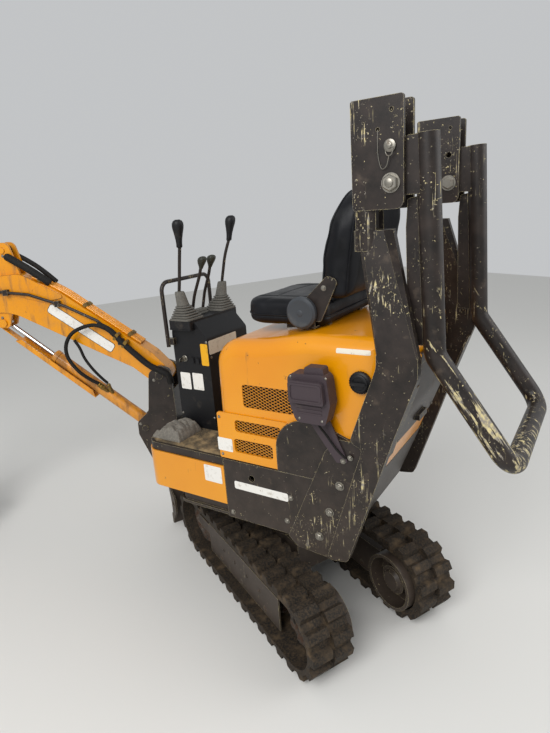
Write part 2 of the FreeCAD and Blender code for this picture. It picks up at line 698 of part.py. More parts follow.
def upper_frame():
    """The turning deck with its race, side frames, kingpost and floor ribs."""
    rear = rear_at(DECK_LOW) + 8
    outline = [(rear, -FRAME_FACE + SIDE_FRAME, 30), (380, -FRAME_FACE + SIDE_FRAME, 60),
               (520, -120, 30), (KINGPOST - 75, -60), (KINGPOST - 75, 60), (520, 120, 30),
               (380, FRAME_FACE - SIDE_FRAME, 60), (rear, FRAME_FACE - SIDE_FRAME, 30)]
    deck_top = DECK_LOW + DECK
    pieces = [plate(outline, "xy", DECK_LOW, deck_top),
              rod(V(0, 0, SLEW_FACE + RACE_GAP), V(0, 0, DECK_LOW), SLEW_RADIUS - 15)]
    inside = FRAME_FACE - SIDE_FRAME
    side_frame = [(rear + 6, SIDE_FRAME_LOW, 20), (SIDE_FRAME_FRONT, SIDE_FRAME_LOW),
                  (SIDE_FRAME_FRONT, SIDE_FRAME_TOP), (rear_at(SIDE_FRAME_TOP) + 14, SIDE_FRAME_TOP)]
    lock_hole = (-23, 674)
    for frame in pair_of_plates(side_frame, inside, SIDE_FRAME):
        pieces.append(frame.cut(cross_pin(lock_hole, 14, -FRAME_FACE - 1, FRAME_FACE + 1)))
    pieces.append(box((60, 72), (-inside, inside), (deck_top, SIDE_FRAME_TOP)))
    rib = [(72, deck_top), (440, deck_top), (500, FLOOR_LOW - 60, 40), (500, FLOOR_LOW), (72, FLOOR_LOW)]
    pieces += pair_of_plates(rib, 150, 10)
    pieces += pair_of_plates([(72, deck_top), (360, deck_top), (400, FLOOR_LOW - 100, 40),
                              (400, FLOOR_LOW), (72, FLOOR_LOW)], 320, 10)
    # horizontal gussets: low, high
    for low, high in ((KINGPOST_LOW + 5, KINGPOST_LOW + 25), (KINGPOST_HIGH - 25, KINGPOST_HIGH - 5)):
        gusset = [(430, -50), (KINGPOST, -50), (KINGPOST, 50), (430, 50)]
        pieces.append(plate(gusset, "xy", low, high))
    web = [(400, deck_top), (KINGPOST - 80, deck_top), (KINGPOST - 80, KINGPOST_LOW), (KINGPOST - 40, KINGPOST_LOW + 20),
           (KINGPOST - 40, KINGPOST_HIGH - 8), (400, KINGPOST_HIGH - 8)]
    pieces += pair_of_plates(web, 30, 12)
    pieces.append(rod(V(KINGPOST, 0, KINGPOST_LOW), V(KINGPOST, 0, KINGPOST_HIGH), KINGPOST_RADIUS))
    frame = joined(pieces)
    return frame.cut(rod(V(KINGPOST, 0, KINGPOST_LOW - 1), V(KINGPOST, 0, KINGPOST_HIGH + 1),
                         SWING_PIN + RUN))


def floor_outline(inset):
    """Corners of the floor's edge, moved inward by inset."""
    side = FRAME_FACE - inset
    front = FLOOR_FRONT - inset
    corner = FLOOR_CORNER - inset
    back = SIDE_FRAME_FRONT + 2 + inset
    return [(back, -side), (front, -side, corner), (front, side, corner), (back, side)]


def floor_deck():
    return plate(floor_outline(SKIRT_WALL + SEAT_GAP), "xy", FLOOR_LOW, FLOOR_TOP)


def front_skirt():
    """Two painted panels round the front corners, open in the middle for the boom swing."""
    outer = plate(floor_outline(0), "xy", SKIRT_LOW, FLOOR_LOW + 3)
    inner = plate(floor_outline(SKIRT_WALL), "xy", SKIRT_LOW - 1, FLOOR_LOW + 4)
    gap = box((300, FLOOR_FRONT + 10), (-SKIRT_GAP_HALF, SKIRT_GAP_HALF), (SKIRT_LOW - 1, FLOOR_LOW + 4))
    behind = box((0, SIDE_FRAME_FRONT + 2 + 2 * SKIRT_WALL), (-FRAME_FACE + 8, FRAME_FACE - 8),
                 (SKIRT_LOW - 1, FLOOR_LOW + 4))
    return outer.cut([inner, gap, behind])


def floor_mat():
    mat = plate(floor_outline(SKIRT_WALL + 14), "xy", FLOOR_TOP, FLOOR_TOP + MAT)
    console_hole = box((298, 502), (-CONSOLE_HALF - 2, CONSOLE_HALF + 2), (FLOOR_TOP - 1, FLOOR_TOP + MAT + 1))
    return mat.cut(console_hole)


def counterweight():
    """The cast weight across the rear of the deck, with a sloped face and rounded corners."""
    half = FRAME_FACE - SIDE_FRAME - 1
    low = DECK_LOW + DECK
    top = SIDE_FRAME_TOP - 6
    outline = [(WEIGHT_FRONT, low), (WEIGHT_FRONT, top), (rear_at(top), top), (rear_at(low), low)]
    weight = plate(outline, "xz", -half, half)
    corners = []
    for edge in weight.Edges:
        middle = edge.valueAt((edge.FirstParameter + edge.LastParameter) / 2)
        if middle.x < WEIGHT_FRONT - 10 and edge.BoundBox.YLength < 0.01 and edge.BoundBox.ZLength > 100:
            corners.append(edge)
    return weight.makeFillet(TAIL_EDGE - 45, corners)


def engine_block():
    return box((WEIGHT_FRONT + 10, -60), (-170, 170), (DECK_LOW + DECK, 900))


# Hood

def hood_body(inset):
    """The hood's outer form as a solid, drawn in from its faces by inset."""
    front = HOOD_FRONT - inset
    top = HOOD_TOP - inset
    low = SIDE_FRAME_TOP - inset
    rear = HOUSE_REAR + inset
    half = HOOD_HALF - inset
    outline = [(rear_at(low) + inset, low), (front, low), (front - 12, 1214 - inset, 105 - inset),
               (-100, 1232 - inset, 200), (-290, top, 120), (rear, top, 40 - inset),
               (rear, REAR_BEND, 100 - inset)]
    body = plate(outline, "xz", -half, half)
    edges = []
    for edge in body.Edges:
        middle = edge.valueAt((edge.FirstParameter + edge.LastParameter) / 2)
        flat = abs(edge.BoundBox.YLength) < 0.01
        if flat and middle.z > low + 1:
            edges.append(edge)
    return body.makeFillet(HOOD_EDGE - inset, edges)


def tail_corners(inset):
    """Two tools that round the hood's rear corners further than its other edges."""
    reach = TAIL_EDGE - inset
    half = HOOD_HALF - inset
    rear = HOUSE_REAR + inset
    low = SIDE_FRAME_TOP - 60
    slope = [(rear_at(low) + inset, low), (rear, REAR_BEND, 100 - inset), (rear, HOOD_TOP + 20),
             (-280, HOOD_TOP + 20), (-280, low)]
    block = plate(slope, "xz", -half, half)
    edges = []
    for edge in block.Edges:
        middle = edge.valueAt((edge.FirstParameter + edge.LastParameter) / 2)
        level = middle.z < SIDE_FRAME_TOP - 55 or middle.z > HOOD_TOP + 15
        if abs(edge.BoundBox.YLength) < 0.01 and middle.x < -300 and not level:
            edges.append(edge)
    round_block = block.makeFillet(reach, edges)
    return box((-700, -300), (-half - 1, half + 1), (SIDE_FRAME_TOP - 50, HOOD_TOP + 10)).cut(round_block)


PANEL_RISE = HOOD_LEDGE - SIDE_FRAME_TOP

# Grille: rear x, front x, low z, high z
GRILLES = ((-230, -10, HOOD_LEDGE + 33, HOOD_LEDGE + 123),
           (-172, 36, SIDE_FRAME_TOP + 0.637 * PANEL_RISE, SIDE_FRAME_TOP + 0.876 * PANEL_RISE),
           (-130, 47, SIDE_FRAME_TOP + 0.2 * PANEL_RISE, SIDE_FRAME_TOP + 0.478 * PANEL_RISE))


def grille_window(grille, low, high):
    rear, front, bottom, top = grille
    bend = min(12, 0.25 * (top - bottom))
    corners = [(rear, bottom, bend), (front, bottom, bend), (front, top, bend), (rear, top, bend)]
    return plate(corners, "xz", low, high)


def hood():
    """The engine hood: a thin shell open below, with grille windows and a rear door opening."""
    shell = hood_body(0).cut(tail_corners(0)).cut(hood_body(HOOD_WALL).cut(tail_corners(HOOD_WALL)))
    cuts = [cross_pin(FUEL_FILLER, FILLER_NECK + SEAT_GAP, HOOD_HALF - 60, HOOD_HALF + 10)]
    for grille in GRILLES:
        cuts.append(grille_window(grille, HOOD_HALF - 30, HOOD_HALF + 10))
        cuts.append(grille_window(grille, -HOOD_HALF - 10, -HOOD_HALF + 30))
    window = [(-DOOR_HALF + 12, DOOR_LOW + 12, 20), (DOOR_HALF - 12, DOOR_LOW + 12, 20),
              (DOOR_HALF - 12, DOOR_HINGE[1] - 22, 20), (-DOOR_HALF + 12, DOOR_HINGE[1] - 22, 20)]
    cuts.append(plate(window, "yz", HOUSE_REAR - 10, HOUSE_REAR + 80))
    shell = shell.cut(cuts)
    x, z = DOOR_HINGE
    ear = [(HOUSE_REAR + 1, z - 6), (HOUSE_REAR + 1, z + 9), (x - 2, z + 9, 6), (x - 8, z - 4, 4)]
    ears = [plate(ear, "xz", side * 116 - 4, side * 116 + 4) for side in (1, -1)]
    pin = cross_pin(DOOR_HINGE, DOOR_PIN, -118, 118)
    return joined([shell, pin] + ears)


def hood_grilles():
    """Flat mesh sheets behind the grille windows."""
    inside = HOOD_HALF - HOOD_WALL
    sheets = []
    for rear, front, bottom, top in GRILLES:
        sheets.append(box((rear - 12, front + 12), (inside - 3, inside), (bottom - 12, top + 12)))
    return both_sides(Part.makeCompound(sheets))


def side_panel_left():
    """The lower side panel that stands a little proud of the hood."""
    outline = [(-217, SIDE_FRAME_TOP + 4, 8), (HOOD_FRONT - 6, SIDE_FRAME_TOP + 4, 8),
               (HOOD_FRONT - 9, HOOD_LEDGE, 14), (-217, HOOD_LEDGE, 30)]
    panel = plate(outline, "xz", HOOD_HALF, HOOD_HALF + PANEL)
    panel = panel.cut([grille_window(grille, HOOD_HALF - 1, HOOD_HALF + 20) for grille in GRILLES])
    cover = cover_outline(2)
    return panel.cut(plate(cover, "xz", HOOD_HALF - 1, HOOD_HALF + 20))


def side_panel_right():
    return mirrored(side_panel_left())


def cover_outline(grow):
    """Corners of the arched cover on the house's side, grown by a gap."""
    shoulder = COVER_TOP - 41
    return [(-480 - grow, SIDE_FRAME_TOP - 1), (-149 + grow, SIDE_FRAME_TOP - 1),
            (-149 + grow, COVER_TOP + grow, 130 + grow), (-330, COVER_TOP + grow, 60),
            (-440, shoulder + grow, 40), (-545 - grow, shoulder + grow)]


def side_cover_left():
    """The black arched cover behind the side panel."""
    cover = plate(cover_outline(0), "xz", HOOD_HALF, FRAME_FACE)
    below = box((-600, 0), (HOOD_HALF - 1, FRAME_FACE + 1), (SIDE_FRAME_TOP - 10, SIDE_FRAME_TOP))
    return cover.cut(below)


def side_cover_right():
    return mirrored(side_cover_left())


FUEL_FILLER = (-492, 1124)
FILLER_NECK = 30.0


def fuel_cap():
    """The filler's neck through the hood's side and its wide screw cap."""
    rim = 36.0
    profile = [(-24, 0), (-24, FILLER_NECK), (0, FILLER_NECK), (0, rim), (14, rim), (18, rim - 7),
               (22, rim - 7), (22, 0)]
    return turned(profile, V(FUEL_FILLER[0], HOOD_HALF, FUEL_FILLER[1]), V(0, 1, 0))


def rear_door():
    """The engine door between the posts, hung from its top edge."""
    x, z = DOOR_HINGE
    face = HOUSE_REAR - 1
    outline = [(-DOOR_HALF, DOOR_LOW, 24), (DOOR_HALF, DOOR_LOW, 24), (DOOR_HALF, z - 12, 24),
               (-DOOR_HALF, z - 12, 24)]
    foot = rear_at(DOOR_LOW) - 1
    bent = [(face, z - 12), (face - DOOR_PLATE, z - 12), (face - DOOR_PLATE, REAR_BEND, 100 + DOOR_PLATE),
            (foot - DOOR_PLATE, DOOR_LOW), (foot, DOOR_LOW), (face, REAR_BEND, 100)]
    sheet = plate(bent, "xz", -DOOR_HALF, DOOR_HALF).common(plate(outline, "yz", face - 20, foot + 20))
    curl = cross_pin(DOOR_HINGE, DOOR_PIN + 4, -110, 110)
    strap = box((x - 5, x + 8), (-110, 110), (z - 30, z))
    strap = strap.cut(box((face, x + 20), (-120, 120), (z - 40, z + 10)))
    grip = rear_at(DOOR_LOW + 51) - DOOR_PLATE
    handle = box((grip - 20, grip + 5), (-45, 45), (DOOR_LOW + 40, DOOR_LOW + 62))
    door = joined([sheet, curl, strap, handle])
    return door.cut(cross_pin(DOOR_HINGE, DOOR_PIN + RUN, -111, 111))


# Console, levers and seat

def console():
    """The control box in front of the seat."""
    top = BOOT_FOOT.z
    outline = [(300, FLOOR_TOP), (500, FLOOR_TOP), (500, 1180, 20), (488, top, 12), (372, top, 20),
               (300, 1165, 25)]
    body = plate(outline, "xz", -CONSOLE_HALF, CONSOLE_HALF)
    cap = [(364, -CAP_HALF, 14), (488, -CAP_HALF, 14), (488, CAP_HALF, 14), (364, CAP_HALF, 14)]
    return joined([body, plate(cap, "xy", top - 40, top)])


# Joystick boots: base centre, half side of the base plate, and the middle of the top
BOOT_FOOT = V(417, 127, 1244)
BOOT_TOP = V(420, 151, 1366)
BOOT_HALF = 44.0
TRAVEL_BOOT = 1266.0         # top of the travel levers' low boot


def lever_boots():
    """Ribbed rubber boots of the two joysticks and a low one for the travel levers."""
    x, y, low = BOOT_FOOT
    # rings of the boot: height along its axis, radius
    rings = [(0, 40), (20, 40), (24, 34), (42, 36), (46, 30), (64, 32), (68, 26), (86, 28), (92, 21)]
    axis = BOOT_TOP - BOOT_FOOT
    boot = turned([(0, 0)] + rings + [(axis.Length, 19), (axis.Length, 0)], BOOT_FOOT, axis)
    base = box((x - BOOT_HALF, x + BOOT_HALF), (y - BOOT_HALF, y + BOOT_HALF), (low, low + 8))
    below = box((x - 60, x + 60), (y - 60, y + 60), (low - 60, low))
    travel = [(435, -48, 12), (472, -48, 12), (472, 48, 12), (435, 48, 12)]
    return Part.makeCompound([both_sides(joined([base, boot.cut(below)])), plate(travel, "xy", low, TRAVEL_BOOT)])


def control_levers():
    """Two joysticks with grips and two travel levers with knobs."""
    lean = (BOOT_TOP - BOOT_FOOT).normalize()
    foot = BOOT_TOP + lean * SEAT_GAP
    points = [foot, foot + lean * 40, V(378, 165, 1540), V(362, 178, 1600)]
    grip = turned([(0, 0), (0, 10), (12, 15), (30, 17), (58, 20), (72, 20), (84, 14), (88, 0)],
                  V(362, 178, 1578), V(-0.12, 0.1, 1))
    joystick = joined([bent_bar(points, 7, 50), grip])
    tilt = 2.2                                   # the sloping end's lowest edge below its middle
    foot = V(459, 36, TRAVEL_BOOT + SEAT_GAP + tilt)
    points = [foot, V(440, 35, 1330), V(398, 33, 1420), V(384, 32, 1462)]
    knob = turned([(0, 0), (0, 9), (10, 16), (34, 20), (46, 16), (50, 0)], V(386, 32, 1452), V(-0.3, 0, 1))
    travel = joined([bent_bar(points, 7, 50), knob])
    return Part.makeCompound([both_sides(joystick), both_sides(travel)])


def guard_bar():
    """The bent bar over the front of the console."""
    side = 162
    x = 513
    points = [V(x, side, 1120), V(x, side, 1406), V(x, -side, 1406), V(x, -side, 1120)]
    bar = bent_bar(points, 9, 40)
    feet = []
    for y in (side, -side):
        low, high = sorted((y * CONSOLE_HALF / side, y))
        feet.append(box((480, x), (low, high), (1130, 1160)))
    inner = box((479, 500), (-CONSOLE_HALF, CONSOLE_HALF), (1100, 1200))
    return joined([bar] + feet).cut(inner)


def foot_cover():
    """A folded rubber pedal cover on the floor, left of the console."""
    profile = [(FLOOR_FRONT - 190, FLOOR_TOP + MAT), (FLOOR_FRONT - 30, FLOOR_TOP + MAT),
               (FLOOR_FRONT - 45, FLOOR_TOP + 46, 12), (FLOOR_FRONT - 120, FLOOR_TOP + 62, 20),
               (FLOOR_FRONT - 175, FLOOR_TOP + 30, 12)]
    return plate(profile, "xz", 165, 320)


def seat_bracket():
    """Rails under the cushion and the side plates that hold the back."""
    slope = [(-290, HOOD_TOP + SEAT_GAP), (-262, HOOD_TOP + SEAT_GAP - 4), (-110, 1240), (-110, CUSHION_LOW),
             (-290, CUSHION_LOW)]
    pieces = pair_of_plates(slope, 130, 24)
    cheek = [(-300, 1290, 14), (-180, 1290, 14), (-220, 1350, 20), (-330, 1450, 16), (-372, 1436, 16)]
    outside = SEAT_HALF + SEAT_GAP + 5
    for side in (1, -1):
        low, high = sorted((side * (outside - 5), side * outside))
        pieces.append(plate(cheek, "xz", low, high))
        pieces.append(box((-275, -235), (low, high), (CUSHION_LOW - 5, CUSHION_LOW + 30)))
        low, high = sorted((side * 150, side * outside))
        pieces.append(box((-275, -235), (low, high), (CUSHION_LOW - 5, CUSHION_LOW)))
    return joined(pieces)


def seat_cushion():
    half = SEAT_HALF
    outline = [(-320, -half, 50), (60, -half, 90), (60, half, 90), (-320, half, 50)]
    return plate(outline, "xy", CUSHION_LOW + SEAT_GAP, CUSHION_LOW + CUSHION)


def seat_back():
    side = [(-286, 1364, 10), (-292, 1520, 120), (-372, 1735, 30), (-455, 1735, 26), (-400, 1364, 25)]
    body = plate(side, "xz", -SEAT_HALF, SEAT_HALF)
    half = SEAT_HALF
    front = [(-half, 1300), (half, 1300), (half, 1740, 120), (-half, 1740, 120)]
    return body.common(plate(front, "yz", -600, -200))


def seat_belt_reel():
    face = SEAT_HALF + SEAT_GAP + 5
    return turned([(0, 0), (0, 50), (6, 57), (20, 57), (26, 50), (26, 0)], V(-232, face, 1322), V(0, 1, 0))


def side_lamp():
    """A dark box on a bolted bracket, outside the left side cover."""
    face = FRAME_FACE + ROPS_BASE
    bracket = [(-448, 838, 8), (-405, 830, 8), (-268, 1020, 10), (-350, 1060, 10)]
    holder = plate(bracket, "xz", face, face + 6)
    outline = [(-396, 985, 15), (-286, 985, 25), (-262, 1058, 12), (-262, 1155, 25), (-405, 1160, 25),
               (-417, 1058, 12)]
    body = plate(outline, "xz", face + 6, face + 60)
    hood_line = [(-404, 1062, 8), (-274, 1062, 8), (-274, 1138, 14), (-398, 1138, 14)]
    visor = plate(hood_line, "xz", face + 58, face + 82)
    cap_line = [(-395, 1150), (-320, 1150), (-324, 1180, 8), (-390, 1180, 8)]
    top = plate(cap_line, "xz", face + 12, face + 50)
    return joined([holder, body, visor, top])


# Roll bar

def rops_post_left():
    """A bolted base, a formed leg, a tube and the clevis that the hoop folds in."""
    base_in = FRAME_FACE
    base = [(-224, 438, 12), (-184, 474, 12), (-357, 859, 20), (-400, 915, 20), (-515, 915, 10),
            (-360, 428, 20)]
    leg = [(-356, 440, 15), (-439, 452, 20), (-512, 661), (-610, 947), (-690, 1165, 60), (-690, 1230),
           (-560, 1230), (-560, 1190, 90), (-462, 925, 20), (-507, 905, 15)]
    pieces = [plate(base, "xz", base_in, base_in + ROPS_BASE), plate(leg, "xz", base_in, ROPS_OUT)]
    flange = [(-579, 880), (-587, 880), (-610, 947), (-676, 1127), (-668, 1127), (-602, 947)]
    pieces.append(plate(flange, "xz", ROPS_OFFSET + 18, base_in + 1))
    y = ROPS_OFFSET
    x = 2 * ROPS_PIVOT[0] - HOOP_LEG
    top = 2 * ROPS_PIVOT[1] - HOOP_TOP - 5
    # leg's top, then the tube's foot: rear x, front x, inner y, outer y, height, cut corner
    sections = ((-690, -560, base_in, ROPS_OUT, 1230, 4), (-592, x + ROPS_TUBE, y - 34, y + 34, top, 22))
    wires = []
    for rear, front, inner, outer, height, cut in sections:
        corners = [V(rear + cut, inner, height), V(front - cut, inner, height), V(front, inner + cut, height),
                   V(front, outer - cut, height), V(front - cut, outer, height), V(rear + cut, outer, height),
                   V(rear, outer - cut, height), V(rear, inner + cut, height)]
        wires.append(Part.makePolygon(corners + corners[:1]))
    pieces.append(Part.makeLoft(wires, True, True))
    clevis_low = 1654
    clevis = [(-482, 1949, 8), (-637, 1949, 8), (-637, clevis_low, 25), (-482, clevis_low, 10)]
    inner = y - CLEVIS_HALF_GAP - CLEVIS_PLATE
    outer = y + CLEVIS_HALF_GAP
    for low in (inner, outer):
        pieces.append(plate(clevis, "xz", low, low + CLEVIS_PLATE))
    # a split collar from the tube to the plates: open in front for the hoop's leg, behind for its tongue
    collar = rod(V(x, y, top - 60), V(x, y, clevis_low + 16), 46)
    room = [rod(V(x, y, top), V(x, y, clevis_low + 17), CLEVIS_HALF_GAP),
            box((x, x + 50), (y - CLEVIS_HALF_GAP, y + CLEVIS_HALF_GAP), (top, clevis_low + 17)),
            box((x - 50, x), (y - 31, y + 31), (top, clevis_low + 17))]
    pieces.append(collar.cut(room))
    post = joined(pieces)
    holes = [cross_pin(ROPS_PIVOT, ROPS_PIN + RUN, inner - 1, outer + CLEVIS_PLATE + 1)]
    # lock holes: x, height, radius
    for hole_x, hole_z, radius in ((-599, 1822, 10), (-563, 1867, 5), (-603, 1913, 6)):
        holes.append(cross_pin((hole_x, hole_z), radius, inner - 1, outer + CLEVIS_PLATE + 1))
    return post.cut(holes)


def rops_post_right():
    return mirrored(rops_post_left())


def rops_pins():
    """Pivot bolts through the clevises and the parked lock pins in their outer plates."""
    inner = ROPS_OFFSET - CLEVIS_HALF_GAP - CLEVIS_PLATE
    outer = ROPS_OFFSET + CLEVIS_HALF_GAP + CLEVIS_PLATE
    bolt = cross_pin(ROPS_PIVOT, ROPS_PIN, inner, outer)
    nut = cross_pin(ROPS_PIVOT, 26, outer, outer + 16)
    head = cross_pin(ROPS_PIVOT, 24, inner - 12, inner)
    lock_point = (-599, 1822)
    lock = cross_pin(lock_point, 9.9, outer - CLEVIS_PLATE, outer + 14)
    lock_head = cross_pin(lock_point, 17, outer, outer + 8)
    return both_sides(Part.makeCompound([joined([bolt, nut, head]), joined([lock, lock_head])]))


def rops_hoop():
    """The folded half of the roll bar: two legs, two slanted runs and the crossbar."""
    y = ROPS_OFFSET
    points = [V(HOOP_LEG, y, HOOP_TOP), V(HOOP_ELBOW[0], y, HOOP_ELBOW[1]), V(HOOP_CORNER[0], y, HOOP_CORNER[1]),
              V(HOOP_CORNER[0], -y, HOOP_CORNER[1]), V(HOOP_ELBOW[0], -y, HOOP_ELBOW[1]), V(HOOP_LEG, -y, HOOP_TOP)]
    hoop = bent_bar(points, HOOP_TUBE, HOOP_BEND)
    x, z = ROPS_PIVOT
    tongue = [(HOOP_LEG, z - 35), (x - 20, z - 35, 10), (x + 30, z - 30, 28), (x + 30, z + 30, 28),
              (x - 25, z + 70, 20), (x - 35, z + 120, 10), (HOOP_LEG, z + 120)]
    pieces = [hoop]
    bar = [(HOOP_LEG, 1250), (HOOP_LEG, 1688), (HOOP_LEG + HOOP_TUBE + 20, 1680, 8),
           (HOOP_LEG + HOOP_TUBE + 26, 1600), (HOOP_LEG + HOOP_TUBE + 20, 1250, 8)]
    for side in (1, -1):
        pieces.append(plate(bar, "xz", side * y - 6, side * y + 6))
        pieces.append(plate(tongue, "xz", side * y - 28, side * y - 16))
        pieces.append(plate(tongue, "xz", side * y + 16, side * y + 28))
    hoop = joined(pieces)
    return hoop.cut(cross_pin(ROPS_PIVOT, ROPS_PIN + RUN, -y - 60, y + 60))


# Boom

def swing_post():
    """The casting that swings on the kingpost and carries the boom and its cylinder."""
    side = [(60, 470, 10), (150, 470, 30), (216, 640, 30), (214, 706, 30), (150, 760, 40), (122, 960, 40),
            (70, 1000, 45), (12, 975, 30), (10, 800, 20), (10, 690), (60, 660)]
    pieces = pair_of_plates(side, POST_INSIDE, POST_PLATE)
    half = POST_INSIDE + POST_PLATE
    for low, high in ((DECK_LOW, KINGPOST_LOW - 5), (KINGPOST_HIGH + 5, 690)):
        pieces.append(rod(V(0, 0, low), V(0, 0, high), POST_HUB))
        pieces.append(box((0, 140), (-half, half), (low, high)))
    pieces.append(rod(V(0, 0, DECK_LOW - 8), V(0, 0, 698), SWING_PIN))
    pieces.append(box((10, 20), (-POST_INSIDE - 1, POST_INSIDE + 1), (690, 870)))
    pieces.append(cross_pin(BOOM_FOOT, BOOM_PIN, -half - 6, half + 6))
    pieces.append(cross_pin(BOOM_CYLINDER_FOOT, 15, -half - 6, half + 6))
    for low, high in ((EYE_HALF, POST_INSIDE + 1), (-POST_INSIDE - 1, -EYE_HALF)):
        pieces.append(cross_pin(BOOM_CYLINDER_FOOT, 24, low, high))
    return joined(pieces)


def boom():
    """A bent box section with brackets for its own cylinder below and the arm's above."""
    side = [(36, 985), (95, 1054, 30), (630, 1462, 400), (1290, 1391), (1290, 1270), (779, 1292, 250),
            (370, 1074), (203, 987, 60), (110, 905)]
    pieces = [plate(side, "xz", -BOOM_HALF, BOOM_HALF),
              cross_pin(BOOM_FOOT, 52, -POST_INSIDE + SIDE_PLAY, POST_INSIDE - SIDE_PLAY),
              cross_pin(ARM_PIVOT, 60, -BOOM_HALF, BOOM_HALF),
              cross_pin(ARM_PIVOT, 40, -FORK_INSIDE + SIDE_PLAY, FORK_INSIDE - SIDE_PLAY)]
    doubler = [(480, 1348, 10), (572, 1400, 60), (690, 1470, 120), (840, 1462, 20), (840, 1400, 20), (600, 1330, 60)]
    pieces.append(plate(doubler, "xz", -BOOM_HALF - DOUBLER, BOOM_HALF + DOUBLER))
    x, z = BOOM_ROD_PIN
    low_bracket = [(x - 62, z + 70), (x - 28, z - 26, 26), (x + 28, z - 26, 26), (x + 60, z + 70)]
    foot_x, foot_z = ARM_CYLINDER_FOOT
    high_bracket = [(foot_x - 75, foot_z - 140), (foot_x - 34, foot_z + 36, 34), (foot_x + 30, foot_z + 36, 30),
                    (foot_x + 30, foot_z - 60, 15), (foot_x + 90, foot_z - 135)]
    # a shallow relief in the underside for the barrel's end when the boom is right down
    relief = plate([(x - 130, z - 10), (x - 62, z - 10), (x - 62, z + 64), (x - 130, z + 30)], "xz", -40, 40)
    lugs = pair_of_plates(low_bracket, LUG_INSIDE, LUG_PLATE)
    lugs += pair_of_plates(high_bracket, EYE_HALF, LUG_PLATE)
    for side_sign in (1, -1):
        face = side_sign * (LUG_INSIDE + LUG_PLATE)
        low, high = sorted((face, face + side_sign * 8))
        lugs.append(cross_pin(BOOM_ROD_PIN, 20, low, high))
    lugs.append(cross_pin(ARM_CYLINDER_FOOT, 15, -EYE_HALF - LUG_PLATE - 5, EYE_HALF + LUG_PLATE + 5))
    body = joined([joined(pieces).cut(relief)] + lugs)
    # the hollow that the rod and its eye can rise into, between the two brackets
    pocket = [(x - 120, z - 60), (x + 40, z - 60), (x + 40, z + 40, 30), (x + 20, z + 104, 30),
              (x - 66, z + 104, 30), (x - 120, z + 40)]
    body = body.cut(plate(pocket, "xz", -LUG_INSIDE, LUG_INSIDE))
    half = POST_INSIDE + 1
    body = body.cut(cross_pin(BOOM_FOOT, BOOM_PIN + RUN, -half, half))
    return body.cut(cross_pin(ARM_PIVOT, BOOM_PIN + RUN, -FORK_INSIDE - 1, FORK_INSIDE + 1))


def rod_guard():
    """A folded strip that travels with the boom cylinder's rod and shields it from below."""
    rise = BOOM_ROD_PIN[1] - BOOM_CYLINDER_FOOT[1]
    run = BOOM_ROD_PIN[0] - BOOM_CYLINDER_FOOT[0]
    line = axes_at(BOOM_ROD_PIN, math.degrees(math.atan2(rise, run)))
    under = -GUARD_REACH
    wide = [line(-570, under), line(-95, under), line(-95, under + 5), line(-570, under + 5)]
    narrow = [line(-100, under), line(24, under, 2), line(24, under + 5, 2), line(-100, under + 5)]
    web = [line(-24, under + 1), line(18, under + 1), line(18, -18), line(-12, -18)]
    flange = [line(-570, under), line(-95, under), line(-115, -16, 8), line(-540, -16, 8)]
    tongue = EYE_HALF - SIDE_PLAY
    pieces = [plate(wide, "xz", -GUARD_HALF, GUARD_HALF), plate(narrow, "xz", -tongue, tongue),
              plate(web, "xz", -5, 5)] + pair_of_plates(flange, GUARD_HALF - 5, 5)
    eye = BOOM_CYLINDER[4] + SEAT_GAP
    return joined(pieces).cut(cross_pin(BOOM_ROD_PIN, eye, -tongue - 1, tongue + 1))


# Hard pipes along the boom: r, height
SIDE_PIPE = ((140, 1022), (194, 1075), (339, 1229), (487, 1307), (661, 1372), (806, 1392), (960, 1388))
PIPE_RADIUS = 7.0


def boom_pipes():
    """Steel pipes in clamps along the boom's sides, with fittings at their ends."""
    pieces = []
    y = PIPE_OFFSET
    points = [V(r, y, z) for r, z in SIDE_PIPE]
    pieces.append(bent_bar(points, PIPE_RADIUS, 60))
    away = (points[0] - points[1]).normalize()
    pieces.append(rod(points[0] - away * 20, points[0] + away * 8, 11))
    pieces.append(rod(points[-1] - V(20, 0, 0), points[-1] + V(8, 0, 0), 11))
    # clamps: the pipe's corner they sit after, and the share of the run to the next corner
    for i, share in ((1, 0.3), (3, 0.2), (4, 0.75)):
        middle = points[i] + (points[i + 1] - points[i]) * share
        low = BOOM_HALF if middle.x < 470 or middle.x > 850 else BOOM_HALF + DOUBLER
        pieces.append(box((middle.x - 12, middle.x + 12), (low + SEAT_GAP, y + 11), (middle.z - 14, middle.z + 14)))
    return both_sides(joined(pieces))


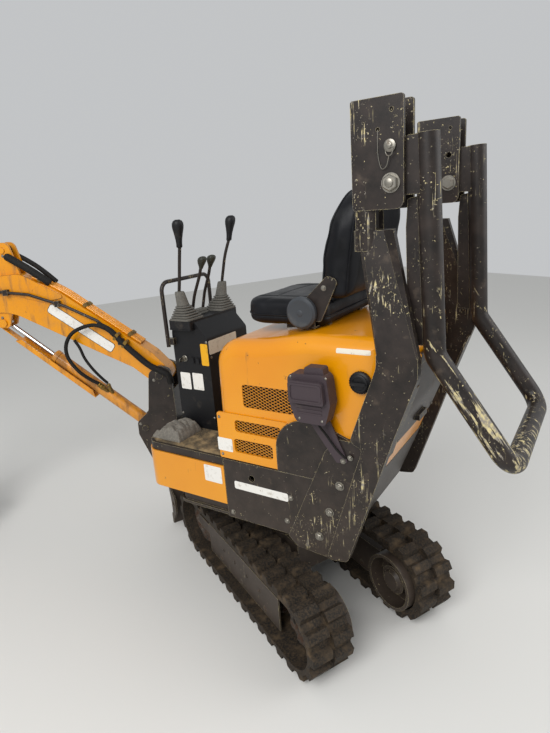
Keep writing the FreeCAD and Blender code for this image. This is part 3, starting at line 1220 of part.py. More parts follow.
def arm():
    """The dipper arm: a fork and horn at the boom, a box section down to the bucket."""
    horn = ARM_HORN
    pieces = []
    outer = FORK_INSIDE + FORK_PLATE
    fork = [ARM(-46, -40, 40), ARM(20, -62, 50), ARM(140, -56, 20), ARM(250, -50), ARM(250, 52), ARM(140, 66, 30),
            ARM(BUCKET_CYLINDER_FOOT[0] + 32, BUCKET_CYLINDER_FOOT[1] + 32, 28),
            ARM(BUCKET_CYLINDER_FOOT[0] - 28, BUCKET_CYLINDER_FOOT[1] + 30, 28),
            (horn[0] + 32, horn[1] + 8, 28), (horn[0] - 10, horn[1] + 36, 28), (horn[0] - 40, horn[1] - 6, 26)]
    pieces += pair_of_plates(fork, FORK_INSIDE, FORK_PLATE)
    taper = ARM_LENGTH - 180
    end = ARM_LENGTH - 50
    body = [ARM(112, -54), ARM(250, -50), ARM(taper, -42), ARM(end, -34), ARM(end, 34), ARM(taper, 40),
            ARM(250, 50), ARM(112, 56)]
    pieces.append(plate(body, "xz", -ARM_HALF, ARM_HALF))
    filler = [ARM(125, -50), ARM(245, -48), ARM(245, 46), ARM(125, 50)]
    pieces.append(plate(filler, "xz", -FORK_INSIDE - 1, FORK_INSIDE + 1))
    pieces.append(cross_pin(BUCKET_PIN, 38, -BUCKET_EAR_INSIDE + SIDE_PLAY, BUCKET_EAR_INSIDE - SIDE_PLAY))
    nose = [ARM(end - 30, -34), ARM(ARM_LENGTH, -38), ARM(ARM_LENGTH, 38), ARM(end - 30, 34)]
    pieces.append(plate(nose, "xz", -ARM_HALF, ARM_HALF))
    pieces.append(cross_pin(ARM_PIVOT, BOOM_PIN, -outer - 6, outer + 6))
    pieces.append(cross_pin(BUCKET_FOOT, 14, -outer - 4, outer + 4))
    for side in (1, -1):
        low, high = sorted((side * EYE_HALF, side * (FORK_INSIDE + 1)))
        pieces.append(cross_pin(BUCKET_FOOT, 22, low, high))
        low, high = sorted((side * outer, side * (outer + 8)))
        pieces.append(cross_pin(horn, 20, low, high))
    pieces.append(cross_pin(TIP_PIVOT, 26, -ARM_HALF - 3, ARM_HALF + 3))
    pieces.append(cross_pin(TIP_PIVOT, 14, -outer, outer))
    arm_solid = joined(pieces)
    return arm_solid.cut(cross_pin(BUCKET_PIN, 16 + RUN, -60, 60))


def tipping_links():
    """Two straight links, each with a stub pin for the bucket link and the rod's eye."""
    angle = math.degrees(math.atan2(LINK_PIN[1] - TIP_PIVOT[1], LINK_PIN[0] - TIP_PIVOT[0]))
    line = axes_at(TIP_PIVOT, angle)
    outline = [line(-26, -26, 25), line(TIPPING_LINK + 24, -24, 23), line(TIPPING_LINK + 24, 24, 23), line(-26, 26, 25)]
    inside = ARM_HALF + 4
    links = pair_of_plates(outline, inside, 12)
    stubs = [cross_pin(LINK_PIN, 13, LINK_CHEEK, inside + 12), cross_pin(LINK_PIN, 13, -inside - 12, -LINK_CHEEK)]
    links = joined(links + stubs)
    return links.cut(cross_pin(TIP_PIVOT, 14 + RUN, -inside - 20, inside + 20))


def bucket_link():
    """The link from the tipping pin to the bucket's ear."""
    angle = math.degrees(math.atan2(BUCKET_EAR_PIN[1] - LINK_PIN[1], BUCKET_EAR_PIN[0] - LINK_PIN[0]))
    line = axes_at(LINK_PIN, angle)
    outline = [line(-25, -25, 24), line(BUCKET_LINK + 26, -26, 25), line(BUCKET_LINK + 26, 26, 25), line(-25, 25, 24)]
    half = ARM_HALF + 3
    body = plate(outline, "xz", -half, half)
    throat = [line(-40, -40), line(BUCKET_LINK - 60, -40, 20), line(BUCKET_LINK - 60, 40, 20), line(-40, 40)]
    body = body.cut(plate(throat, "xz", -LINK_CHEEK, LINK_CHEEK))
    return body.cut(cross_pin(LINK_PIN, 13 + RUN, -half - 1, half + 1))


def bucket():
    """A digging bucket: bent back plate, side plates, hinge ears and teeth."""
    half = BUCKET_HALF
    outer = [BUCKET(385, 0), BUCKET(250, 190, 100), BUCKET(60, 228, 100), BUCKET(-4, 112, 30), BUCKET(25, 52)]
    wall = BUCKET_WALL
    inner = [BUCKET(400, -14), BUCKET(385 - wall, 0), BUCKET(247, 180, 92), BUCKET(64, 218, 92),
             BUCKET(-4 + wall + 2, 112, 24), BUCKET(25 + wall, 52), BUCKET(20 + wall, 20)]
    shell = plate(outer, "xz", -half, half).cut(plate(inner, "xz", -half + wall, half - wall))
    ear = [BUCKET(36, -32, 32), BUCKET(-32, -36, 32), BUCKET(-112, 70, 32), BUCKET(-82, 126, 32), BUCKET(20, 165),
           BUCKET(44, 60)]
    pieces = [shell] + pair_of_plates(ear, BUCKET_EAR_INSIDE, BUCKET_EAR)
    reach = BUCKET_EAR_INSIDE + BUCKET_EAR
    pieces.append(cross_pin(BUCKET_PIN, 16, -reach - 5, reach + 5))
    for side in (1, -1):
        low, high = sorted((side * reach, side * (reach + 6)))
        pieces.append(cross_pin(BUCKET_EAR_PIN, 20, low, high))
    lip = [BUCKET(330, 72), BUCKET(345, 80), BUCKET(405, -4), BUCKET(392, -8)]
    pieces.append(plate(lip, "xz", -half, half))
    tooth = [BUCKET(352, 50), BUCKET(372, 66), BUCKET(440, -38), BUCKET(436, -44), BUCKET(388, -8)]
    for i in range(TEETH):
        centre = -half + 25 + i * (2 * half - 50) / (TEETH - 1)
        pieces.append(plate(tooth, "xz", centre - 18, centre + 18))
    return joined(pieces)


# Nodes: name, maker, frame
NODES = (
    ("car_body", car_body, GROUND),
    ("track_frame_left", track_frame_left, GROUND),
    ("track_frame_right", track_frame_right, GROUND),
    ("track_left", track_left, GROUND),
    ("track_right", track_right, GROUND),
    ("sprockets", sprockets, GROUND),
    ("drive_motors", drive_motors, GROUND),
    ("idlers", idlers, GROUND),
    ("track_rollers", track_rollers, GROUND),
    ("blade", blade, GROUND),
    ("blade_cylinder_barrel", blade_cylinder_barrel, GROUND),
    ("blade_cylinder_rod", blade_cylinder_rod, GROUND),
    ("upper_frame", upper_frame, HOUSE),
    ("counterweight", counterweight, HOUSE),
    ("floor_deck", floor_deck, HOUSE),
    ("floor_mat", floor_mat, HOUSE),
    ("front_skirt", front_skirt, HOUSE),
    ("engine_block", engine_block, HOUSE),
    ("hood", hood, HOUSE),
    ("hood_grilles", hood_grilles, HOUSE),
    ("side_panel_left", side_panel_left, HOUSE),
    ("side_panel_right", side_panel_right, HOUSE),
    ("side_cover_left", side_cover_left, HOUSE),
    ("side_cover_right", side_cover_right, HOUSE),
    ("fuel_cap", fuel_cap, HOUSE),
    ("rear_door", rear_door, HOUSE),
    ("console", console, HOUSE),
    ("lever_boots", lever_boots, HOUSE),
    ("control_levers", control_levers, HOUSE),
    ("guard_bar", guard_bar, HOUSE),
    ("foot_cover", foot_cover, HOUSE),
    ("seat_bracket", seat_bracket, HOUSE),
    ("seat_cushion", seat_cushion, HOUSE),
    ("seat_back", seat_back, HOUSE),
    ("seat_belt_reel", seat_belt_reel, HOUSE),
    ("side_lamp", side_lamp, HOUSE),
    ("rops_post_left", rops_post_left, HOUSE),
    ("rops_post_right", rops_post_right, HOUSE),
    ("rops_pins", rops_pins, HOUSE),
    ("rops_hoop", rops_hoop, HOUSE),
    ("swing_post", swing_post, BOOM_PLANE),
    ("boom", boom, BOOM_PLANE),
    ("boom_cylinder_barrel", boom_cylinder_barrel, BOOM_PLANE),
    ("boom_cylinder_rod", boom_cylinder_rod, BOOM_PLANE),
    ("rod_guard", rod_guard, BOOM_PLANE),
    ("boom_pipes", boom_pipes, BOOM_PLANE),
    ("arm", arm, BOOM_PLANE),
    ("arm_cylinder_barrel", arm_cylinder_barrel, BOOM_PLANE),
    ("arm_cylinder_rod", arm_cylinder_rod, BOOM_PLANE),
    ("bucket_cylinder_barrel", bucket_cylinder_barrel, BOOM_PLANE),
    ("bucket_cylinder_rod", bucket_cylinder_rod, BOOM_PLANE),
    ("tipping_links", tipping_links, BOOM_PLANE),
    ("bucket_link", bucket_link, BOOM_PLANE),
    ("bucket", bucket, BOOM_PLANE),
)

os.makedirs("parts", exist_ok=True)
for name, maker, frame in NODES:
    shape = maker()
    shape.Placement = frame.multiply(shape.Placement)
    shape.exportStep("parts/" + name + ".step")
    print(name, "solids", len(shape.Solids), "valid", shape.isValid())
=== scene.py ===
# %% [markdown]
# # A mini excavator, dressed for its portrait
# The construction model gives every solid its true size and place. Here each surface gets the
# finish of the real machine, and the soft, small and worn things are added round the solids:
# the padded seat, hoses, bolts, labels and scuffs. The loaded parts are never moved, so a new
# piece only has to be drawn where the solids say.

# %% Load the machine
import math
import json
import bpy
import bmesh
from mathutils import Matrix, Vector, noise
from mathutils.bvhtree import BVHTree


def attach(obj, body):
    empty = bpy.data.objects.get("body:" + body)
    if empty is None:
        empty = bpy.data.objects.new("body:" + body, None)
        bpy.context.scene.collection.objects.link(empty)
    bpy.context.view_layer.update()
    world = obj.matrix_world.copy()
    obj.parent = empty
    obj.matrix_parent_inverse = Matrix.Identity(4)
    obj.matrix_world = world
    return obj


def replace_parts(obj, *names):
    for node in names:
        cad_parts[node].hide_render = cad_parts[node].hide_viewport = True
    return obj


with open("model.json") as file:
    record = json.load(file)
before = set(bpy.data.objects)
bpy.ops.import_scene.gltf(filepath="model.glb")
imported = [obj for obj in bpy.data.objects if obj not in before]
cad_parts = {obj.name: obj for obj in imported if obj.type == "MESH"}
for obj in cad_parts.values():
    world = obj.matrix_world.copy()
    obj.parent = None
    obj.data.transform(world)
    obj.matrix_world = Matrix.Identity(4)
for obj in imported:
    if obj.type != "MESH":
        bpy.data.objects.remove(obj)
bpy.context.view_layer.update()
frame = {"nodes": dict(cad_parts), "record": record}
nodes = frame["nodes"]

# %% [markdown]
# ## The places that new pieces are drawn from
# The house of the machine stands turned on its tracks, and the boom stands swung on the house.
# A piece is easiest to describe in its own frame, such as "12 mm outside the side panel", so the
# two frames are rebuilt here from the same sizes as the construction.

# %% Frames
MM = 0.001
EDGE_MIDDLE = 786.0          # slewing centre behind the blade's edge, in mm
HOUSE_TURN = math.radians(27.0)
BOOM_SWING = math.radians(26.0)
KINGPOST = 640.0             # the boom's swing axis in front of the slewing centre
# some faces that small parts sit on: y out from the house's middle, and z over the ground
CONSOLE_FACE, PANEL_FACE, FRAME_FACE, POST_FACE = 145, 348, 352, 362
MAT_TOP = 741.4

GROUND = Matrix.Translation((-EDGE_MIDDLE * MM, 0, 0))
HOUSE = GROUND @ Matrix.Rotation(HOUSE_TURN, 4, "Z")
BOOM = HOUSE @ Matrix.Translation((KINGPOST * MM, 0, 0)) @ Matrix.Rotation(BOOM_SWING, 4, "Z")
LEFT, RIGHT, UP, BACK = (0, 1, 0), (0, -1, 0), (0, 0, 1), (-1, 0, 0)


def spot(place, x, y, z):
    """A point given in millimetres of a frame, as a place in the scene in metres."""
    return place @ Vector((x * MM, y * MM, z * MM))


def aimed(place, origin, direction):
    """A frame in metres at origin (mm of a frame) whose Z axis points along direction."""
    turn = (place.to_3x3() @ Vector(direction)).to_track_quat("Z", "Y").to_matrix().to_4x4()
    return Matrix.Translation(spot(place, *origin)) @ turn


def facing(place, x, y, z, direction, upward=UP):
    """A frame at a point of place whose Z looks along direction and whose Y points upward."""
    out = (place.to_3x3() @ Vector(direction)).normalized()
    across = (place.to_3x3() @ Vector(upward)).cross(out).normalized()
    turned = Matrix((across, out.cross(across), out)).transposed().to_4x4()
    return Matrix.Translation(spot(place, x, y, z)) @ turned


# %% [markdown]
# ## Camera
# The camera stands where the photographer stood: behind and left of the machine, at head height,
# looking a little down. The place was worked out from the joints of the wall in the photograph.

# %% Camera
CAMERA_SPOT = Vector((-1.868 - EDGE_MIDDLE * MM, 1.127, 1.676))
CAMERA_RIGHT = Vector((-0.5139, -0.8549, -0.0709)).normalized()
CAMERA_AHEAD = Vector((0.8324, -0.4769, -0.2823)).normalized()
FOCAL_LENGTH = 26.11         # mm, on a sensor 36 mm high
scene = bpy.context.scene
lens = bpy.data.cameras.new("photographer")
lens.sensor_fit = "AUTO"
lens.sensor_width = 36.0
lens.lens = FOCAL_LENGTH
camera = bpy.data.objects.new("photographer", lens)
turn = Matrix((CAMERA_RIGHT, CAMERA_RIGHT.cross(CAMERA_AHEAD), -CAMERA_AHEAD)).transposed().to_4x4()
camera.matrix_world = Matrix.Translation(CAMERA_SPOT) @ turn
scene.collection.objects.link(camera)
scene.camera = camera
scene.view_settings.view_transform = "Standard"
print("camera at", [round(v, 3) for v in CAMERA_SPOT])

# %% [markdown]
# ## Colour and node helpers
# Paint shops and designers name colours by hex codes, which are made for screens. Blender mixes
# light in linear values, so one function turns a code into a linear colour. A second one adds a
# node with its settings and its links, and every material and node tree below is written with it.
# An output knows the tree that it is in, so the others need only the outputs that they work on.

# %% Helpers for node trees
def colour(code):
    """A linear colour from an sRGB hex code."""
    values = [int(code[i:i + 2], 16) / 255 for i in (1, 3, 5)]
    linear = [v / 12.92 if v <= 0.04045 else ((v + 0.055) / 1.055) ** 2.4 for v in values]
    return (*linear, 1.0)


def add(tree, kind, inputs=None, **settings):
    """Adds a node. inputs maps a socket's name or number to a value or another node's output."""
    new = tree.nodes.new(kind)
    for name, value in settings.items():
        setattr(new, name, value)
    for name, value in (inputs or {}).items():
        if isinstance(value, bpy.types.NodeSocket):
            tree.links.new(value, new.inputs[name])
        else:
            new.inputs[name].default_value = value
    return new


def new_material(name, **settings):
    """A material from its shader's settings. Gives it, the shader and the Object coordinates."""
    material = bpy.data.materials.new(name)
    material.use_nodes = True
    shader = material.node_tree.nodes["Principled BSDF"]
    for socket, value in settings.items():
        shader.inputs[socket.replace("_", " ")].default_value = value
    return material, shader, add(material.node_tree, "ShaderNodeTexCoord").outputs["Object"]


def combined(operation, first, second):
    """One number from two, each a value or an output."""
    tree = next(v.id_data for v in (first, second) if isinstance(v, bpy.types.NodeSocket))
    return add(tree, "ShaderNodeMath", {0: first, 1: second}, operation=operation).outputs[0]


def times(first, second):
    return combined("MULTIPLY", first, second)


def most(first, second):
    return combined("MAXIMUM", first, second)


# %% [markdown]
# ## How wear is drawn
# Paint goes first where things rub: along edges, and in long scratches where the bar is folded.
# A Bevel node looks a few millimetres round each point, so where its normal differs from the
# surface's own, there is an edge. Noise breaks the line up, and a ramp makes it crisp. Small
# chips come from a cell pattern, where only some of the cells are taken.

# %% Masks
def ramp(value, low, high):
    """0 below low, 1 above high, and the other way round where low is more than high."""
    return add(value.id_data, "ShaderNodeMapRange", {"Value": value, "From Min": low, "From Max": high}).outputs[0]


def stretched(place, stretch, lean=(0.0, 0.0, 0.0)):
    return add(place.id_data, "ShaderNodeMapping", {"Vector": place, "Scale": stretch, "Rotation": lean}).outputs[0]


def cloud(place, size_mm, detail, roughness=0.5):
    """Noise whose largest spots are about size_mm across."""
    return add(place.id_data, "ShaderNodeTexNoise", {"Vector": place, "Scale": 1 / (size_mm * MM),
                                                     "Detail": detail, "Roughness": roughness}).outputs


def cells(place, size_mm, **settings):
    """A pattern of cells of about size_mm."""
    return add(place.id_data, "ShaderNodeTexVoronoi", {"Vector": place, "Scale": 1 / (size_mm * MM)},
               **settings).outputs


def patch_mask(place, size_mm, low, high, detail=5.0):
    """Soft patches of about size_mm, 1 inside them."""
    return ramp(cloud(place, size_mm, detail, 0.6)["Fac"], low, high)


def edge_mask(place, radius_mm, ragged_mm, low, high):
    """1 along worn edges, 0 elsewhere."""
    tree = place.id_data
    bevel = add(tree, "ShaderNodeBevel", {"Radius": radius_mm * MM}, samples=4)
    flat = add(tree, "ShaderNodeNewGeometry").outputs["Normal"]
    alike = add(tree, "ShaderNodeVectorMath", {0: bevel.outputs[0], 1: flat}, operation="DOT_PRODUCT")
    edge = combined("SUBTRACT", 1.0, alike.outputs["Value"])
    return ramp(times(edge, cloud(place, ragged_mm, 4.0)["Fac"]), low, high)


def chip_mask(place, cell_mm, size, share):
    """Small ragged chips: one in some of the cells, size as a share of the cell."""
    tree = place.id_data
    wobble = cloud(place, cell_mm * 0.22, 3.0)["Color"]
    moved = add(tree, "ShaderNodeVectorMath", {0: wobble, 1: (0.5, 0.5, 0.5)}, operation="SUBTRACT")
    offset = add(tree, "ShaderNodeVectorMath", {0: moved.outputs[0], "Scale": cell_mm * 0.9 * MM}, operation="SCALE")
    bent = add(tree, "ShaderNodeVectorMath", {0: place, 1: offset.outputs[0]}, operation="ADD").outputs[0]
    pattern = cells(bent, cell_mm)
    pick = add(tree, "ShaderNodeSeparateColor", {0: pattern["Color"]}).outputs[0]
    return times(ramp(pattern["Distance"], size, size * 0.8), combined("GREATER_THAN", pick, 1 - share))


def height_band(place, low_mm, high_mm):
    """1 above high_mm and 0 below low_mm over the ground, or the other way round."""
    return ramp(add(place.id_data, "ShaderNodeSeparateXYZ", {0: place}).outputs[2], low_mm * MM, high_mm * MM)


def layered(under, over, mask):
    """over laid on under by a mask. Each is an output or a colour's code."""
    under, over = (colour(c) if isinstance(c, str) else c for c in (under, over))
    return add(mask.id_data, "ShaderNodeMix", {"Factor": mask, 6: under, 7: over}, data_type="RGBA").outputs[2]


def blended(under, over, mask):
    """The same for a number, such as roughness."""
    return add(mask.id_data, "ShaderNodeMix", {"Factor": mask, 2: under, 3: over}, data_type="FLOAT").outputs[0]


def coated(shader, base, rough, height, depth_mm):
    """Links a colour, a roughness and a bump of some depth to a shader."""
    tree = shader.id_data
    bump = add(tree, "ShaderNodeBump", {"Height": height, "Distance": depth_mm * MM, "Strength": 1.0})
    for socket, output in (("Base Color", base), ("Roughness", rough), ("Normal", bump.outputs[0])):
        tree.links.new(output, shader.inputs[socket])


# %% [markdown]
# ## Baked enamel, amber
# The hood, skirt and boom are sheet steel under a thick coat of baked enamel. The hood is wiped
# clean and glossy. The boom is not: grease and site dust have browned it in patches and runs, and
# small chips show the dark undercoat.

# %% Amber enamel
def amber_enamel(name, grime):
    # the eye reads a deep orange coat with a soft gloss, browned where it is handled or greased
    material, shader, place = new_material(name, IOR=1.5, Coat_Weight=0.35, Coat_Roughness=0.1)
    film = patch_mask(place, 130, 0.66 - grime, 1.15 - grime)
    runs = patch_mask(stretched(place, (1, 1, 0.22)), 34, 0.66 - grime, 0.86 - grime)
    chips = chip_mask(place, 34, 0.11, 0.16 + grime)
    worn = edge_mask(place, 2.5, 7, 0.05, 0.075)
    paint = layered("#D88700", "#E29500", patch_mask(place, 420, 0.3, 0.7, 3.0))
    for code, mask in (("#A8773C", film), ("#7E552B", times(runs, 0.75)), ("#2A221C", chips), ("#5B3D20", worn)):
        paint = layered(paint, code, mask)
    # orange peel of sprayed enamel, about 4 mm across
    peel = patch_mask(place, 4, 0.0, 1.0, 1.0)
    coated(shader, paint, blended(blended(0.28, 0.62, film), 0.75, runs), peel, 0.05)
    return material


panel_enamel = amber_enamel("baked_enamel_amber_panels", 0.0)
boom_enamel = amber_enamel("baked_enamel_amber_boom", 0.13)
greasy_enamel = amber_enamel("baked_enamel_amber_greasy", 0.26)
print("amber enamels:", panel_enamel.name, boom_enamel.name, greasy_enamel.name)

# %% [markdown]
# ## Black enamel, scuffed
# The roll bar is folded down and up every day, so its black enamel is scratched through to a
# yellowish primer and bare steel, most of all where the folded hoop's left leg and corner are
# dragged along walls and the ground. The frames below it are cleaner but dusty.

# %% Black enamel
LEG_LEAN = 0.609             # the hoop's lower legs lean from upright by this angle, in radians


def black_enamel(name, knocks, dragged=False):
    # the eye reads near-black paint with pale chips, long scrapes and a brown film of dust
    material, shader, place = new_material(name, IOR=1.45, Specular_IOR_Level=0.38)
    dust = most(patch_mask(place, 80, 0.62, 1.0), times(height_band(place, 900, 250), 0.2))
    paint = layered("#1B1715", "#322A26", patch_mask(place, 60, 0.3, 0.7, 4.0))
    paint = layered(paint, "#6E5F50", dust)
    primer = layered("#CDBE8C", "#8A8378", patch_mask(place, 14, 0.4, 0.6))
    # scrapes in two directions keep to some zones, and chips and worn edges are everywhere
    zones = patch_mask(place, 110, 0.5, 0.62, 2.0)
    lines = patch_mask(stretched(place, (1.0, 1.0, 0.05)), 7, 0.69 - knocks, 0.72 - knocks, 3.0)
    tilted = stretched(place, (1.0, 0.1, 0.9), (0.5, 0.7, 0.4))
    cross = patch_mask(tilted, 6, 0.715 - knocks, 0.73 - knocks, 3.0)
    wear = most(most(times(lines, zones), times(cross, zones)),
                most(chip_mask(place, 30, 0.10, 0.25 + knocks * 3), chip_mask(place, 11, 0.16, 0.05 + knocks)))
    wear = most(wear, times(edge_mask(place, 3.0, 9, 0.06, 0.085), 0.8))
    if dragged:
        # long rubs run along the lower legs, and most of them are on the left one
        legs = add(place.id_data, "ShaderNodeMapping", {
            "Vector": place, "Location": HOUSE.to_translation(), "Rotation": (0.0, LEG_LEAN, HOUSE_TURN),
            "Scale": (1.0, 1.0, 9.0)}, vector_type="TEXTURE").outputs[0]
        left = ramp(add(place.id_data, "ShaderNodeSeparateXYZ", {0: legs}).outputs[1], -110 * MM, 110 * MM)
        near = times(height_band(place, 1480, 1020), blended(0.45, 1.0, left))
        rubs = combined("ADD", patch_mask(legs, 15, 0.0, 1.0, 4.0), times(near, 0.14))
        wear = most(wear, times(ramp(rubs, 0.675, 0.71), ramp(near, 0.02, 0.3)))
    coated(shader, layered(paint, primer, wear), blended(blended(0.4, 0.85, dust), 0.65, wear),
           combined("SUBTRACT", patch_mask(place, 6, 0.0, 1.0, 3.0), wear), 0.12)
    return material


roll_bar_enamel = black_enamel("black_enamel_scuffed", 0.075)
hoop_enamel = black_enamel("black_enamel_dragged", 0.06, dragged=True)
frame_enamel = black_enamel("black_enamel_dusty", 0.0)
print("black enamels:", roll_bar_enamel.name, hoop_enamel.name, frame_enamel.name)

# %% [markdown]
# ## Rubber, plastic, steel
# Track rubber is dull and holds grey-brown dust in its grooves. Moulded plastic has a fine
# spark-eroded grain. A chromed rod is nearly a mirror, and the running gear is bare cast steel
# with brown rust.

# %% Rubber
def dusty_rubber(name, clean, dusty, amount, depth_mm=0.4):
    # the eye reads a matt skin whose hollows keep the dust
    material, shader, place = new_material(name, IOR=1.45, Specular_IOR_Level=0.3)
    dust = patch_mask(place, 55, 0.6 - amount, 0.95 - amount)
    cover = most(dust, times(patch_mask(place, 7, 0.4, 0.75, 3.0), 0.4))
    coated(shader, layered(clean, dusty, cover), blended(0.7, 0.95, cover), patch_mask(place, 4, 0.0, 1.0, 3.0),
           depth_mm)
    return material


track_rubber = dusty_rubber("vulcanised_rubber_dusty", "#1E1B18", "#6E5B44", 0.10)
mat_rubber = dusty_rubber("ribbed_rubber_mat_muddy", "#3E3932", "#B59B72", 0.2)
grey_rubber = dusty_rubber("moulded_rubber_grey", "#5E5C57", "#8A8478", 0.02, 0.2)
cover_rubber = dusty_rubber("folded_rubber_sheet_dusty", "#67635C", "#A9A194", 0.08, 0.6)
hose_rubber = dusty_rubber("hydraulic_hose_rubber", "#0F0F10", "#3E382F", -0.02, 0.15)


# %% Moulded plastic
def moulded_plastic(name, clean, dusty, roughness):
    # the eye reads a fine even grain under a thin film of dust
    material, shader, place = new_material(name, IOR=1.46, Specular_IOR_Level=0.35)
    dust = patch_mask(place, 60, 0.6, 1.0)
    cover = most(dust, times(chip_mask(place, 24, 0.07, 0.2), 0.5))
    # the real grain is about 0.3 mm, and is drawn at 1.5 mm so that it shows at all
    coated(shader, layered(clean, dusty, cover), blended(roughness, 0.85, dust), cells(place, 1.5)["Distance"], 0.08)
    return material


black_plastic = moulded_plastic("moulded_polypropylene_black", "#121214", "#4E473F", 0.48)
lamp_plastic = moulded_plastic("moulded_nylon_dark_grey", "#40363A", "#6A6058", 0.5)
reel_plastic = moulded_plastic("moulded_abs_slate_grey", "#3B3E42", "#66625C", 0.45)
knob_plastic = moulded_plastic("moulded_knob_olive_grey", "#33332B", "#6B675A", 0.4)


# %% Steel
def bare_steel(name, clean, rusty, amount, roughness):
    # the eye reads metal by its sharp reflections, and rust by their absence
    material, shader, place = new_material(name)
    rust = patch_mask(place, 30, 0.6 - amount, 0.75 - amount)
    coated(shader, layered(clean, rusty, rust), blended(roughness, 0.9, rust), patch_mask(place, 3, 0.0, 1.0, 4.0),
           0.12)
    shader.id_data.links.new(blended(1.0, 0.0, rust), shader.inputs["Metallic"])
    return material


chrome = bare_steel("hard_chrome_ground", "#C9CBCD", "#8A7F73", -0.2, 0.12)
zinc = bare_steel("zinc_plated_steel", "#918D84", "#6E6153", 0.04, 0.42)
yellow_zinc = bare_steel("yellow_zinc_fittings", "#8E733C", "#5C4A32", 0.1, 0.45)
cast_steel = bare_steel("cast_steel_rusty", "#6A645D", "#4A3527", 0.16, 0.5)
engine_iron = bare_steel("cast_iron_grey", "#55585A", "#3F3C39", 0.1, 0.6)
edge_steel = bare_steel("ground_edge_steel", "#8D8983", "#57473A", 0.08, 0.38)


# %% Blank labels
def label_film(name, clean, faded):
    # the eye reads a flat pale film with scuffs and a dirty rim: every label is left blank
    material, shader, place = new_material(name, IOR=1.48)
    scuffs = most(patch_mask(place, 22, 0.55, 0.85), chip_mask(place, 9, 0.2, 0.12))
    coated(shader, layered(clean, faded, scuffs), blended(0.42, 0.8, scuffs), patch_mask(place, 8, 0.0, 1.0, 2.0),
           0.05)
    return material


white_label = label_film("vinyl_label_white", "#E4E1DA", "#A79C8B")
cream_label = label_film("vinyl_label_cream", "#DAD3C2", "#A3957A")
yellow_label = label_film("vinyl_label_yellow", "#E3A70C", "#8F7430")

# %% [markdown]
# ## Seat vinyl
# The seat is foam in a skin of blue-black vinyl with a pebbled grain, a little shiny where it is
# used.

# %% Vinyl
seat_vinyl, shader, place = new_material("grained_vinyl_black", IOR=1.45, Specular_IOR_Level=0.28)
used = patch_mask(place, 160, 0.35, 0.65, 3.0)
skin = layered(layered("#05060A", "#0B0D13", used), "#3A3937", times(patch_mask(place, 70, 0.55, 1.0), 0.45))
coated(shader, skin, blended(0.38, 0.55, used), cells(place, 2.5, feature="F2")["Distance"], 0.2)
print("materials so far:", len(bpy.data.materials))

# %% [markdown]
# ## Giving each solid its finish
# Every loaded part has a slot from its record. One table turns the slot into a finish, and the
# few parts that differ from their slot's rule come after it.

# %% Assign
FINISH = {
    "orange_paint": panel_enamel, "black_paint": frame_enamel, "engine_grey": engine_iron,
    "track_rubber": track_rubber, "chrome_rod": chrome, "worn_steel": cast_steel,
    "black_plastic": black_plastic, "seat_vinyl": seat_vinyl, "floor_rubber": mat_rubber,
    "grey_rubber": grey_rubber, "zinc": zinc,
}
SPECIAL = {
    "rops_hoop": hoop_enamel, "rops_post_left": roll_bar_enamel, "rops_post_right": roll_bar_enamel,
    "boom": boom_enamel, "arm": boom_enamel, "boom_cylinder_barrel": greasy_enamel, "rod_guard": boom_enamel,
    "side_lamp": lamp_plastic, "seat_belt_reel": reel_plastic, "guard_bar": roll_bar_enamel,
    "boom_pipes": frame_enamel,
}
for part in frame["record"]["subparts"]:
    finish = SPECIAL.get(part["node"], FINISH[part["material_slot"]])
    nodes[part["node"]].data.materials.clear()
    nodes[part["node"]].data.materials.append(finish)
print("finishes:", len(set(FINISH.values()) | set(SPECIAL.values())))

# %% [markdown]
# ## Small tools for shapes
# Most small parts of a machine are turned on a lathe, bent from a rod or cut from a plate. Three
# helpers make those from a few numbers, straight into a mesh that is still being edited, so that
# one piece can join several of them. A fourth gives the mesh its finish and its body.

# %% Shape helpers
def add_turned(mesh, place, profile, sides=28):
    """A turned shape on place's Z axis. Each ring is (radius, height) in mm, and a third number
    above 2 squares the ring off, as on a boot's base."""
    rings = []
    for radius, height, *power in profile:
        ring = []
        for k in range(sides):
            angle = 2 * math.pi * (k + 0.5) / sides
            c, s = math.cos(angle), math.sin(angle)
            n = power[0] if power else 2.0
            reach = radius / (abs(c) ** n + abs(s) ** n) ** (1 / n)
            ring.append(mesh.verts.new(place @ Vector((c * reach * MM, s * reach * MM, height * MM))))
        rings.append(ring)
    skin_rings(mesh, rings)


def skin_band(mesh, low, high):
    """Faces between two closed rings of equal count."""
    for k in range(len(low)):
        after = (k + 1) % len(low)
        mesh.faces.new((low[k], low[after], high[after], high[k]))


def skin_rings(mesh, rings):
    """Faces from ring to ring, with both ends closed."""
    for low, high in zip(rings, rings[1:]):
        skin_band(mesh, low, high)
    mesh.faces.new(rings[0][::-1])
    mesh.faces.new(rings[-1])


def smooth_run(points, steps=5):
    """A smooth line of places through the given ones."""
    ends = [points[0] * 2 - points[1]] + list(points) + [points[-1] * 2 - points[-2]]
    line = []
    for a, b, c, d in zip(ends, ends[1:], ends[2:], ends[3:]):
        for k in range(steps):
            t = k / steps
            line.append(0.5 * (2 * b + (c - a) * t + (2 * a - 5 * b + 4 * c - d) * t ** 2
                               + (3 * b - 3 * c + d - a) * t ** 3))
    return line + [points[-1]]


def along(place, points, steps=5):
    """A smooth line through points given in mm of a frame."""
    return smooth_run([spot(place, *point) for point in points], steps)


